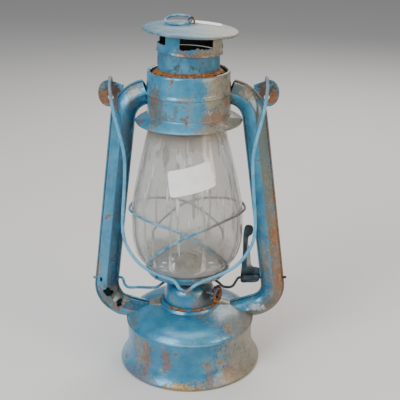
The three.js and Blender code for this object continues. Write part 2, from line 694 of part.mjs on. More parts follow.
const halfWidth = TUBE_WIDTH / 2;
const halfDepth = TUBE_DEPTH / 2;
const finTip = halfWidth + TUBE_FIN;
const seam = GAP / 2;
const archSide = TUBE_ARCH.map(([across, deep]) => v2(deep * halfDepth, across * halfWidth));
const tubeOutside = [
  v2(seam + SHEET, -halfWidth),
  ...archSide.map((p) => v2(p.x, -p.y)),
  ...archSide.toReversed(),
  v2(seam + SHEET, halfWidth),
];
const tubeInside = offsetLine(tubeOutside, SHEET).reverse();
tubeInside[0].x = seam;
tubeInside.at(-1).x = seam;
const halfOutline = [
  v2(seam, -finTip),
  v2(seam + SHEET, -finTip),
  ...tubeOutside,
  v2(seam + SHEET, finTip),
  v2(seam, finTip),
  ...tubeInside,
];
const frontHalf = new THREE.Shape(halfOutline);
const backHalf = new THREE.Shape(halfOutline.map((p) => v2(-p.x, p.y)));
const crankBore = cylinderAlong("x", CRANK_WIRE + GAP, 3 * TUBE_WIDTH, 10);
crankBore.translate(TUBE_ELBOW.x, 0, CRANK_Z);
const envelopeShape = new THREE.Shape([
  v2(-halfDepth - 9, -finTip - GAP),
  v2(halfDepth + 9, -finTip - GAP),
  v2(halfDepth + 9, finTip + GAP),
  v2(-halfDepth - 9, finTip + GAP),
]);
for (const [name, shape] of [["front", frontHalf], ["back", backHalf]]) {
  const half = cut(sweep(shape), domeEnvelope, hoodEnvelope, crankBore);
  piece("tube_right_" + name, half, BLUE);
  piece("tube_left_" + name, half, BLUE).scale.x = -1;
}

// ---- Bail ears ----------------------------------------------------------------------------
const eyeZ = EAR_Z - 3.5 + EYE_R;
const ear = new THREE.Shape();
ear.moveTo(EAR_X - 16, EAR_Z + 6.5);
ear.lineTo(EAR_X, EAR_Z + EAR_HALF_HEIGHT);
ear.absellipse(EAR_X, EAR_Z, EAR_HALF_WIDTH, EAR_HALF_HEIGHT, Math.PI / 2, -Math.PI / 2, true);
ear.lineTo(EAR_X - 6, EAR_Z - 11);
ear.lineTo(EAR_X - 16, EAR_Z);
const earHole = cylinderAlong("y", EAR_HOLE_R, 6, 12).translate(EYE_X, 0, eyeZ - EYE_R);
const earPlate = cut(uprightPlate(ear, EAR_THICK, 0, 7), sweep(envelopeShape), earHole);
piece("ear_right", earPlate, BLUE);
piece("ear_left", earPlate, BLUE).scale.x = -1;

// ---- Bail: an eye through each ear, then down in front to a kinked handle -------------------
const bailY = (z) => -EYE_R - BAIL_SLOPE * (eyeZ - z);
const eyeTurn = (degrees, x) =>
  v3(x, -EYE_R * Math.sin(radians(degrees)), eyeZ - EYE_R * Math.cos(radians(degrees)));
const eyePoints = [378, 350, 315, 270, 225, 180, 140, 105].map((turn) => eyeTurn(turn, EYE_X));
const hanging = (list) => list.map(([x, z]) => v3(x, bailY(z), z));
const bailRun = hanging([
  [61.8, 235.5], [58.8, 223], [55.3, 210], [53.1, 198], [52.9, 184], [53.8, 167], [54.9, 152],
  [55.2, 139], [53.3, 127], [48.4, 117.5], [42, 109.5], [33, 103], [23, 98.5], [12.6, 94.3],
]);
const bailKink = hanging([[4.6, 90.4], [-0.6, 86.4], [-3, 85.2], [-5.4, 86.2], [-8, 88]]);
const flipped = (points) => points.map((p) => v3(-p.x, p.y, p.z)).reverse();
const bailRoute = [...eyePoints, ...bailRun, ...bailKink, ...flipped(bailRun), ...flipped(eyePoints)];
piece("bail", wire(bailRoute, BAIL_WIRE, 72), BLUE);

// ---- Globe, plate and guard: one carrier that the lever raises ------------------------------
carrier.position.x = CARRIER_SHIFT;
const globeSpline = new THREE.SplineCurve([
  v2(GLOBE_FOOT_R, PLATE_Z + SHEET + GAP),
  v2(GLOBE_FOOT_R + 1.2, PLATE_Z + 3.4),
  v2(GLOBE_FOOT_R + 3, PLATE_RIM_TOP),
  v2(39.4, 98.4),
  v2(44.4, 105),
  v2(47.4, 117),
  v2(GLOBE_BELLY_R, 132),
  v2(47.5, 149),
  v2(42.4, 176),
  v2(36.9, 199),
  v2(GLOBE_MOUTH_R + 1.4, 214),
  v2(GLOBE_MOUTH_R, GLOBE_TOP),
]);
const globeLine = globeSpline.getPoints(12);
piece("globe", turnedRing(sheetOutline(globeLine, GLASS)), CLEAR, carrier);

const plateOutline = [
  v2(PLATE_HOLE_R, PLATE_Z),
  v2(PLATE_RIM_R - 3, PLATE_Z),
  v2(PLATE_RIM_R - 0.8, PLATE_Z + 2.4),
  v2(PLATE_RIM_R - 0.4, PLATE_RIM_TOP - 3.4),
  v2(PLATE_RIM_R, PLATE_RIM_TOP - 2.6),
  v2(PLATE_RIM_R, PLATE_RIM_TOP),
  v2(PLATE_RIM_R - SHEET, PLATE_RIM_TOP),
  v2(PLATE_RIM_R - 0.4 - SHEET, PLATE_RIM_TOP - 3.4),
  v2(PLATE_RIM_R - 0.9 - SHEET, PLATE_Z + 3),
  v2(PLATE_RIM_R - 3.2, PLATE_Z + SHEET),
  v2(PLATE_HOLE_R, PLATE_Z + SHEET),
];
const plateVents = ventRing(PLATE_VENTS, (PLATE_HOLE_R + GLOBE_FOOT_R - GLASS) / 2, PLATE_VENT_R, PLATE_Z);
piece("globe_plate", cut(turnedRing(plateOutline), ...plateVents), BLUE, carrier);

// One guard wire rises from the plate's rim at +X, crosses the front, passes high at -X and comes
// back behind. The other is its mirror image, set out where the two cross.
const guardFootR = PLATE_RIM_R + GAP + GUARD_WIRE;
const guardFoot = [v3(guardFootR, 0, PLATE_RIM_TOP - 4), v3(guardFootR + 2.6, 0, PLATE_RIM_TOP + 1.6)];
const guardR = GLOBE_BELLY_R + GUARD_OUT;
const guardRise = [[45, -3.2, 103.6], [49, -0.7, 110.6], [58, 0.4, 118.4], [68, 0.6, 126]];
const guardCross = [[80, 0.4, 134.4], [92, 0.4, 141], [105, 0.3, 145.2]];
const guardHigh = [[124, 0, 148], [145, -0.2, 149], [164, -0.2, 148]];
function guardRoute(crossingOut) {
  const polar = (turn, r, z) => v3(r * Math.cos(radians(turn)), -r * Math.sin(radians(turn)), z);
  const feet = guardFoot.map((p) => polar(45, p.x, p.z));
  const crossings = guardCross.map(([turn, out, z]) => polar(turn, guardR + out + crossingOut, z));
  const plain = (list) => list.map(([turn, out, z]) => polar(turn, guardR + out, z));
  const front = [...feet, ...plain(guardRise), ...crossings, ...plain(guardHigh)];
  const sag = (p) => p.z - (GUARD_SAG * Math.max(p.z - PLATE_RIM_TOP, 0) * -p.y) / guardR ** 2;
  const back = front.map((p) => v3(p.x, -p.y, sag(p))).reverse();
  return [...front, v3(0.2 - guardR, 0, 145.4), ...back];
}
piece("guard_wire_a", wire(guardRoute(0), GUARD_WIRE, 46), BLUE, carrier);
const guardB = guardRoute(2 * GUARD_WIRE + 2 * GAP).map((p) => v3(-p.x, p.y, p.z));
piece("guard_wire_b", wire(guardB, GUARD_WIRE, 46), BLUE, carrier);

// ---- Lift lever and crank wire --------------------------------------------------------------
const leverX = TUBE_ELBOW.x - halfWidth - TUBE_FIN - LEVER_CLEAR;
const crankRoute = [
  [-CRANK_END, 0, 0], [-64, 0, 0], [-60.4, -1, 0], [-56.4, -CRANK_THROW + 5, 0], [-53, -CRANK_THROW, 0],
  [-44, -CRANK_THROW, 0], [-29, -CRANK_THROW, 0], [-25, -CRANK_THROW + 1, 2], [-19, -CRANK_LIFT_Y, 6],
  [-13, -CRANK_LIFT_Y, 6.5], [-8, -CRANK_CONE_Y + 1, 3], [-4, -CRANK_CONE_Y, 1.4],
  [4, -CRANK_CONE_Y, 1.4], [8, -CRANK_CONE_Y + 1, 3], [13, -CRANK_LIFT_Y, 6.5],
  [20, -CRANK_LIFT_Y, 6.5], [25, -CRANK_LIFT_Y - 1, 4], [29, -CRANK_THROW + 0.4, 0.8],
  [leverX - 20.4, -CRANK_THROW, 0], [leverX - 17, -CRANK_THROW + 2, 0],
  [leverX - 13.4, -CRANK_THROW + 12, 0], [leverX - 10.8, -1.4, 0], [leverX - 7.4, 0, 0],
  [leverX - 2.4, 0, 0], [leverX + 5.6, 0, 0], [CRANK_END, 0, 0],
].map(([x, y, rise]) => v3(x, y, CRANK_Z + rise));
piece("crank_wire", wire(crankRoute, CRANK_WIRE, 58), DARK);

const leverShape = new THREE.Shape(
  [
    [-6.8, LEVER_FOOT], [7.4, LEVER_FOOT + 2], [7.4, LEVER_FOOT + 14.6], [1.4, LEVER_FOOT + 16.6],
    [-0.8, 103], [-2.8, 112], [-2, 117.4], [0.6, 119.4], [0.8, LEVER_TOP - 1], [-4.6, LEVER_TOP],
    [-6.4, LEVER_TOP - 3.6], [-7.2, 117], [-7.2, 103], [-8.2, 88], [-8.6, LEVER_FOOT + 1.2],
  ].map(([x, z]) => v2(leverX + x, z)),
);
const barrelBore = CRANK_WIRE + GAP;
const leverY = CRANK_WIRE + LEVER_THICK;
const leverBarrel = cylinderAlong("x", barrelBore + BARREL_WALL, BARREL_LENGTH);
leverBarrel.translate(leverX, 0, CRANK_Z);
const leverBore = cylinderAlong("x", barrelBore, 2 * BARREL_LENGTH).translate(leverX, 0, CRANK_Z);
piece("lift_lever", cut(join(uprightPlate(leverShape, LEVER_THICK, leverY), leverBarrel), leverBore), DARK);

// ---- Crown: chimney, leaning collar and cap with its lift ring -------------------------------
crownTilted.position.set(CROWN_SHIFT, 0, CROWN_Z);
crownTilted.rotation.y = radians(CROWN_LEAN);
crownTilted.updateMatrixWorld(true);
const holderZ = GLOBE_TOP + GAP;
const lipR = GLOBE_MOUTH_R - GLASS - GAP - Math.abs(CARRIER_SHIFT);
const chimneyShell = turnedRing([
  v2(lipR, holderZ - HOLDER_LIP),
  v2(lipR, holderZ),
  v2(HOLDER_R, holderZ),
  v2(HOLDER_R, holderZ + SHEET),
  v2(CHIMNEY_R + 1.6, holderZ + 2.2),
  v2(CHIMNEY_R, holderZ + 4.6),
  v2(CHIMNEY_R, CHIMNEY_TOP),
  v2(CHIMNEY_R - SHEET, CHIMNEY_TOP),
  v2(CHIMNEY_R - SHEET, holderZ + 4.4),
  v2(lipR - SHEET, holderZ),
  v2(lipR - SHEET, holderZ - HOLDER_LIP),
]);
const slant = new THREE.BoxGeometry(80, 80, 30).translate(0, 0, 15 - GAP);
slant.applyMatrix4(crownTilted.matrixWorld);
piece("chimney", cut(chimneyShell, slant), FADED);

const crownCollarR = CHIMNEY_R + CROWN_COLLAR_OUT;
const collarOutline = [
  v2(crownCollarR - SHEET, 0),
  v2(crownCollarR + 0.4, 0),
  v2(crownCollarR, 1.2),
  v2(crownCollarR, CROWN_COLLAR_HEIGHT),
  v2(crownCollarR - SHEET, CROWN_COLLAR_HEIGHT),
];
const windowHeight = CROWN_COLLAR_HEIGHT - CROWN_SILL - 1.2;
const crownWindows = Array.from({ length: CROWN_WINDOWS / 2 }, (_, i) =>
  new THREE.BoxGeometry(CROWN_WINDOW_WIDTH, 80, windowHeight)
    .translate(0, 0, CROWN_SILL + windowHeight / 2)
    .rotateZ((2 * Math.PI * i) / CROWN_WINDOWS + radians(CROWN_WINDOW_TURN)),
);
piece("crown_collar", cut(turnedRing(collarOutline), ...crownWindows), BLUE, crownTilted);

const capZ = CROWN_COLLAR_HEIGHT + GAP;
const capDome = (r) => capZ + CAP_DOME * (1 - (r / CAP_R) ** 2);
const capRadii = [0, 11, 22, 31, 36.6];
piece(
  "crown_cap",
  turned([
    ...capRadii.map((r) => v2(r, capDome(r))),
    v2(CAP_R - SHEET, capZ + 0.2),
    v2(CAP_R - SHEET, capZ + SHEET - CAP_EDGE),
    v2(CAP_R, capZ + SHEET - CAP_EDGE),
    v2(CAP_R + 0.2, capZ + 0.4),
    ...capRadii.toReversed().map((r) => v2(r, capDome(r) + SHEET)),
  ]),
  FADED,
  crownTilted,
);

const capTop = capDome(0) + SHEET;
const staplePoints = [[-2.4, 0], [-2.4, 2], [-1.4, 4.2], [0, 4.9], [1.4, 4.2], [2.4, 2], [2.4, 0]];
const stapleRoute = staplePoints.map(([x, z]) => v3(x, 0, capTop + GAP + z));
const stapleFoot = new THREE.BoxGeometry(9, 4, 0.8).translate(0, 0, capTop + GAP + 0.4);
piece("ring_staple", join(wire(stapleRoute, STAPLE_WIRE, 14), stapleFoot), RUST, crownTilted);
const ringHinge = capTop + LIFT_RING_WIRE + GAP + LIFT_RING_SLACK;
const ring = new THREE.TorusGeometry(LIFT_RING_R, LIFT_RING_WIRE, WIRE_SIDES, 28);
ring.translate(-LIFT_RING_R, 0, 0).rotateY(-radians(5)).rotateX(radians(LIFT_RING_TILT));
piece("lift_ring", ring.translate(0, 0, ringHinge), BLUE, crownTilted);

// ---- Paper labels: blank ----------------------------------------------------------------------
function paperPatch(width, height, turn) {
  const sheet = new THREE.BoxGeometry(width, height, LABEL_THICK, 8, 4, 1);
  return sheet.rotateZ(radians(turn));
}
const globeRadiusAt = (z) => {
  const above = globeLine.findIndex((p) => p.y >= z);
  const [low, high] = [globeLine[above - 1], globeLine[above]];
  return THREE.MathUtils.mapLinear(z, low.y, high.y, low.x, high.x);
};
const glassLabel = paperPatch(GLASS_LABEL.width, GLASS_LABEL.height, GLASS_LABEL.lean);
const wrapped = glassLabel.getAttribute("position");
for (let i = 0; i < wrapped.count; i++) {
  const z = GLASS_LABEL.z + wrapped.getY(i) * 0.98;
  const out = globeRadiusAt(z) + GAP + LABEL_THICK / 2 + wrapped.getZ(i) + 0.25;
  const angle = radians(GLASS_LABEL.turn) + wrapped.getX(i) / globeRadiusAt(GLASS_LABEL.z);
  wrapped.setXYZ(i, out * Math.sin(angle), -out * Math.cos(angle), z);
}
piece("glass_label", glassLabel, PAPER, carrier);
const capLabel = paperPatch(CAP_LABEL.width, CAP_LABEL.height, 0).translate(CAP_LABEL.x, CAP_LABEL.y, 0);
const laid = capLabel.getAttribute("position");
for (let i = 0; i < laid.count; i++) {
  const r = Math.hypot(laid.getX(i), laid.getY(i));
  laid.setZ(i, laid.getZ(i) + capDome(r) + SHEET + GAP + 0.25);
}
piece("cap_label", capLabel, PAPER, crownTilted);

export default lantern;
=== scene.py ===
"""A tubular hurricane lantern: fine meshes and worn paint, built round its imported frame.

Lengths in the piece functions are millimetres, as on a maker's drawing, and MM turns them into metres.
Every piece keeps its place in its mesh. Turned pieces are outlines of (radius, height) spun round Z.
"""

import json
import math

import bmesh
import bpy
from mathutils import Matrix, Vector, noise

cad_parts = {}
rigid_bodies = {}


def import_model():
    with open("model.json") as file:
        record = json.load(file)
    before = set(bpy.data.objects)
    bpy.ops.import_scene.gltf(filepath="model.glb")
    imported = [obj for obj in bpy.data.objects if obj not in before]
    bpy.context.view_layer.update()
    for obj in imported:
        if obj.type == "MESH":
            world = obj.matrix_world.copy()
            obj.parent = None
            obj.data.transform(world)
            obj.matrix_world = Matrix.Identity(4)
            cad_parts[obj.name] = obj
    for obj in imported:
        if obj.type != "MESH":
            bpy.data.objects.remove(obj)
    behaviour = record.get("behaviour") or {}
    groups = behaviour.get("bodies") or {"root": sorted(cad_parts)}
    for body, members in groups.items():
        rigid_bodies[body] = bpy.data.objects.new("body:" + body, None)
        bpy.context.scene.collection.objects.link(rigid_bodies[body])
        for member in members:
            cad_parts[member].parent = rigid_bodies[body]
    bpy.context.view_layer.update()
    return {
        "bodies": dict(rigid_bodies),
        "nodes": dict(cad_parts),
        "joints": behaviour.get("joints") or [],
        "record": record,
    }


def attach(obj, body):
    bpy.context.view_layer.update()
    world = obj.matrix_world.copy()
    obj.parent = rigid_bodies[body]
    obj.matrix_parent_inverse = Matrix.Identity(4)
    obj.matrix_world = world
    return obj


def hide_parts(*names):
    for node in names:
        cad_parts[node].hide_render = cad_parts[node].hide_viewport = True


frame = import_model()

bl_info = {
    "name": "Hurricane lantern",
    "version": (1, 0, 0),
    "blender": (4, 5, 0),
    "location": "3D View > Sidebar > Lantern",
    "description": "Builds a worn, painted hurricane lantern piece by piece",
    "category": "Object",
}

MM = 0.001
SPIN_WELD = 0.02 * MM
PIECE_WELD = 0.005 * MM
TIP_RINGS = (0.35, 0.75, 0.95)
SIDEBAR_TAB = "Lantern"


# ---- What a user would change ---------------------------------------------------------------
def length_property(name, description, default):
    return bpy.props.FloatProperty(name=name, description=description, default=default, unit="LENGTH")


class LanternSizes(bpy.types.PropertyGroup):
    """Fineness and small sizes that don't move any fit."""

    sides: bpy.props.IntProperty(
        name="Sides", description="Facets round a turned piece", default=128, min=32
    )
    sheet: length_property("Sheet", "Thickness of the stamped steel", 0.0007)
    dents: length_property("Dents", "How far the beaten steel strays", 0.00035)
    guard_wire: length_property("Guard wire", "Radius of the guard wires", 0.0011)
    bail_wire: length_property("Bail wire", "Radius of the bail's wire", 0.0014)
    crank_wire: length_property("Crank wire", "Radius of the lift's crank wire", 0.0012)


def colour_property(name, description, default):
    return bpy.props.FloatVectorProperty(
        name=name, description=description, default=default, size=3, subtype="COLOR", min=0, max=1
    )


class LanternColours(bpy.types.PropertyGroup):
    """Linear colours of the paint, its wear and the bare materials."""

    paint: colour_property("Paint", "Sky-blue enamel", (0.020, 0.155, 0.275))
    paint_light: colour_property("Light paint", "The same enamel, chalked", (0.062, 0.275, 0.42))
    patina: colour_property("Patina", "Khaki stain over the paint", (0.135, 0.125, 0.075))
    sand: colour_property("Sand", "Pale dusty stain", (0.30, 0.235, 0.145))
    rust: colour_property("Rust", "Fresh orange rust", (0.30, 0.105, 0.022))
    old_rust: colour_property("Old rust", "Dark brown rust", (0.060, 0.025, 0.012))
    soot: colour_property("Soot", "Black soot and shadowed holes", (0.012, 0.011, 0.011))
    steel: colour_property("Steel", "Dull bare steel", (0.30, 0.30, 0.29))
    brass: colour_property("Brass", "Tarnished brass", (0.33, 0.225, 0.09))
    paper: colour_property("Paper", "White paper label", (0.84, 0.82, 0.79))


class StageSettings(bpy.types.PropertyGroup):
    """Floor, lights and camera."""

    floor: colour_property("Floor", "Pale plain floor", (0.62, 0.60, 0.58))
    key: bpy.props.FloatProperty(
        name="Key light", description="Power of the cool light at the left", default=17, unit="POWER"
    )
    fill: bpy.props.FloatProperty(
        name="Fill light", description="Power of the warm light at the right", default=6.5, unit="POWER"
    )
    camera_distance: length_property("Camera distance", "In front of the lantern's axis", 0.70)
    camera_height: length_property("Camera height", "Above the floor", 0.421)
    camera_tilt: bpy.props.FloatProperty(
        name="Camera tilt", description="Below level", default=math.radians(21), subtype="ANGLE"
    )


# ---- Outlines -------------------------------------------------------------------------------
def bend(start, control, end, steps):
    """Points along a quadratic curve, both ends included."""
    points = []
    for i in range(steps + 1):
        t = i / steps
        blend = [(1 - t) ** 2, 2 * t * (1 - t), t * t]
        weighted = list(zip(blend, (start, control, end)))
        points.append(tuple(sum(k * p[axis] for k, p in weighted) for axis in (0, 1)))
    return points


def offset(line, distance):
    """A line moved to its left by a distance, with mitred corners."""
    points = [Vector(p) for p in line]
    normals = []
    for a, b in zip(points, points[1:]):
        along = (b - a).normalized()
        normals.append(Vector((-along.y, along.x)))
    moved = []
    for i, point in enumerate(points):
        mitre = normals[max(i - 1, 0)] + normals[min(i, len(normals) - 1)]
        moved.append(tuple(point + mitre * (2 * distance / mitre.length_squared)))
    return moved


def sheet_outline(line, thickness):
    """A closed outline of even thickness whose outer face follows a line that climbs."""
    return list(line) + offset(line, thickness)[::-1]


def smooth_route(points, spacing):
    """Points spaced evenly along a centripetal Catmull-Rom curve through the given ones."""
    given = [Vector(p) for p in points]
    padded = [2 * given[0] - given[1], *given, 2 * given[-1] - given[-2]]
    route = [given[0]]
    for p0, p1, p2, p3 in zip(padded, padded[1:], padded[2:], padded[3:]):
        t1 = max((p1 - p0).length, 1e-9) ** 0.5
        t2 = t1 + max((p2 - p1).length, 1e-9) ** 0.5
        t3 = t2 + max((p3 - p2).length, 1e-9) ** 0.5
        steps = max(1, math.ceil((p2 - p1).length / spacing))
        for i in range(1, steps + 1):
            t = t1 + (t2 - t1) * i / steps
            a1 = p0.lerp(p1, t / t1)
            a2 = p1.lerp(p2, (t - t1) / (t2 - t1))
            a3 = p2.lerp(p3, (t - t2) / (t3 - t2))
            b1 = a1.lerp(a2, t / t2)
            b2 = a2.lerp(a3, (t - t1) / (t3 - t1))
            route.append(b1.lerp(b2, (t - t1) / (t2 - t1)))
    return route


# ---- Making meshes --------------------------------------------------------------------------
def only(geometry, kind):
    """The elements of one kind, in the order they were made."""
    return [g for g in geometry if isinstance(g, kind)]


def spin_round(bm, geom, steps, **joining):
    """Carries geometry all the way round Z and welds the seams."""
    bmesh.ops.spin(
        bm, geom=geom, cent=(0, 0, 0), axis=(0, 0, 1), angle=2 * math.pi, steps=steps, **joining
    )
    bmesh.ops.remove_doubles(bm, verts=bm.verts, dist=SPIN_WELD)


def spin_line(bm, line, sides, closed=False):
    """Turns a line of (radius, height) round Z."""
    verts = [bm.verts.new((r * MM, 0, z * MM)) for r, z in line]
    ends = verts[1:] + verts[:1] if closed else verts[1:]
    edges = [bm.edges.new(pair) for pair in zip(verts, ends)]
    spin_round(bm, verts + edges, sides, use_merge=True)


def turned(degrees, axis):
    return Matrix.Rotation(math.radians(degrees), 4, axis)


def shifted(*place):
    """A shift to a place in millimetres."""
    return Matrix.Translation(Vector(place) * MM)


def frames_along(route, radius, tip=0.0):
    """Matrices that carry a unit circle along a route of points, turned as little as they can be.
    A tip rounds both ends over that length."""
    tangents = []
    for i in range(len(route)):
        before, after = route[max(i - 1, 0)], route[min(i + 1, len(route) - 1)]
        tangents.append((after - before).normalized())
    across = tangents[0].orthogonal().normalized()
    frames = []
    for point, tangent in zip(route, tangents):
        across = (across - tangent * across.dot(tangent)).normalized()
        side = tangent.cross(across)
        turn = Matrix((across, side, tangent)).transposed().to_4x4()
        frames.append(Matrix.Translation(point) @ turn @ Matrix.Scale(radius, 4))
    if tip:
        reach = tip / radius
        head = [frames[0] @ tip_ring(k, -reach) for k in TIP_RINGS]
        tail = [frames[-1] @ tip_ring(k, reach) for k in TIP_RINGS]
        frames = head + frames + tail[::-1]
    return frames


def tip_ring(scale, reach):
    """Carries a wire's end ring out to a smaller one on the dome that rounds it."""
    out = Matrix.Translation((0, 0, reach * (1 - scale * scale) ** 0.5))
    return out @ Matrix.Diagonal((scale, scale, 1, 1))


def sweep(bm, verts, edges, frames, caps=True):
    """Carries a section from the first frame through the rest. The section is drawn in its own plane."""
    bmesh.ops.transform(bm, matrix=frames[0], verts=verts)
    first, rim = list(edges), list(edges)
    for before, after in zip(frames, frames[1:]):
        grown = bmesh.ops.extrude_edge_only(bm, edges=rim)["geom"]
        moved = only(grown, bmesh.types.BMVert)
        rim = only(grown, bmesh.types.BMEdge)
        bmesh.ops.transform(bm, matrix=after @ before.inverted(), verts=moved)
    if caps:
        bmesh.ops.contextual_create(bm, geom=first)
        bmesh.ops.contextual_create(bm, geom=rim)


def add_wire(bm, points, radius, spacing=1.6, sides=12, tip=0.7):
    """Round wire through a list of points in millimetres. The radius is in metres."""
    route = [p * MM for p in smooth_route(points, spacing)]
    ring = bmesh.ops.create_circle(bm, segments=sides, radius=1)["verts"]
    edges = list({edge for vert in ring for edge in vert.link_edges})
    sweep(bm, ring, edges, frames_along(route, radius, tip * radius))


def add_plate(bm, outline, thickness, place):
    """A flat plate cut to an outline of (x, z), lying in the XZ plane and centred on y = place."""
    verts = [bm.verts.new((x * MM, (place - thickness / 2) * MM, z * MM)) for x, z in outline]
    face = bm.faces.new(verts)
    grown = bmesh.ops.extrude_face_region(bm, geom=[face])["geom"]
    moved = only(grown, bmesh.types.BMVert)
    bmesh.ops.translate(bm, vec=(0, thickness * MM, 0), verts=moved)
    return verts + moved


def perforated_ring(bm, inner, outer, height, holes, hole_radius, hole_at, arc_steps=8):
    """A flat ring at a height, with a ring of round holes, made from one sector turned round."""
    half = math.pi / holes
    edge_steps = arc_steps // 2
    turns = [half * (2 * i / arc_steps - 1) for i in range(arc_steps + 1)]
    radii = [inner + (outer - inner) * i / edge_steps for i in range(edge_steps + 1)]
    border = [(outer, t) for t in turns]
    border += [(r, half) for r in radii[-2::-1]]
    border += [(inner, t) for t in turns[-2::-1]]
    border += [(r, -half) for r in radii[1:-1]]
    points = [Vector((r * math.cos(t), r * math.sin(t), height)) * MM for r, t in border]
    centre = Vector((hole_at, 0, height)) * MM
    rim = [bm.verts.new(p) for p in points]
    eyelet = [bm.verts.new(centre + (p - centre).normalized() * hole_radius * MM) for p in points]
    edges = [bm.edges.new(pair) for ring in (rim, eyelet) for pair in zip(ring, ring[1:] + ring[:1])]
    bmesh.ops.bridge_loops(bm, edges=edges)
    spin_round(bm, bm.verts[:] + bm.edges[:] + bm.faces[:], holes, use_duplicate=True)


def beat(bm, depth, size, seed):
    """Pushes a turned shell in and out by smooth noise, as years of knocks do. Depth is in metres."""
    shift = Vector((seed, 2 * seed, 3 * seed))
    for vert in bm.verts:
        out = Vector((vert.co.x, vert.co.y, 0))
        if out.length > 2 * MM:
            vert.co += out.normalized() * depth * noise.noise(vert.co / (size * MM) + shift)


def finish_piece(name, bm, material, body, nodes, crease=38, place=None):
    """Turns a bmesh into a piece that rides on a body and stands for CAD nodes."""
    bmesh.ops.remove_doubles(bm, verts=bm.verts, dist=PIECE_WELD)
    bmesh.ops.recalc_face_normals(bm, faces=bm.faces)
    if place is not None:
        bmesh.ops.transform(bm, matrix=place, verts=bm.verts)
    for face in bm.faces:
        face.smooth = True
    for edge in bm.edges:
        edge.smooth = len(edge.link_faces) == 2 and edge.calc_face_angle(0) < math.radians(crease)
    mesh = bpy.data.meshes.new(name)
    bm.to_mesh(mesh)
    bm.free()
    piece = bpy.data.objects.new(name, mesh)
    bpy.context.scene.collection.objects.link(piece)
    mesh.materials.append(material)
    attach(piece, body)
    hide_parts(*nodes)
    return piece


def thicken(piece, thickness, side=-1, lining=None):
    """Gives a single surface the thickness of its sheet, inwards unless told otherwise."""
    shell = piece.modifiers.new("Sheet", "SOLIDIFY")
    shell.thickness = thickness
    shell.offset = side
    if lining is not None:
        piece.data.materials.append(lining)
        shell.material_offset = 1
    return piece


def line_inside(piece, lining):
    """Gives the faces that look at the lantern's axis, or down, a second finish."""
    piece.data.materials.append(lining)
    for face in piece.data.polygons:
        away = Vector((face.center.x, face.center.y, 0)).normalized()
        if face.normal.dot(away) < -0.4 or face.normal.z < -0.7:
            face.material_index = 1


def face_outwards(piece, towards):
    """Turns an open surface's faces so that most of them look a given way."""
    bm = bmesh.new()
    bm.from_mesh(piece.data)
    if sum(face.normal.dot(towards) * face.calc_area() for face in bm.faces) < 0:
        bmesh.ops.reverse_faces(bm, faces=bm.faces)
    bm.to_mesh(piece.data)
    bm.free()


# ---- Shader maths ---------------------------------------------------------------------------
# The Mix node's sockets for colours: names don't tell them from those for numbers.
MIX_FACTOR, MIX_LOW, MIX_HIGH, MIX_RESULT = 0, 6, 7, 2


class Term:
    """A node socket that Python arithmetic can be done on."""

    def __init__(self, bench, socket):
        self.bench = bench
        self.socket = socket

    def _math(self, operation, *values):
        return self.bench.add("ShaderNodeMath", {"operation": operation}, dict(enumerate(values)))

    def __add__(self, other):
        return self._math("ADD", self, other)

    def __sub__(self, other):
        return self._math("SUBTRACT", self, other)

    def __mul__(self, other):
        return self._math("MULTIPLY", self, other)

    def __truediv__(self, other):
        return self._math("DIVIDE", self, other)

    def __rsub__(self, other):
        return self._math("SUBTRACT", other, self)

    __radd__ = __add__
    __rmul__ = __mul__


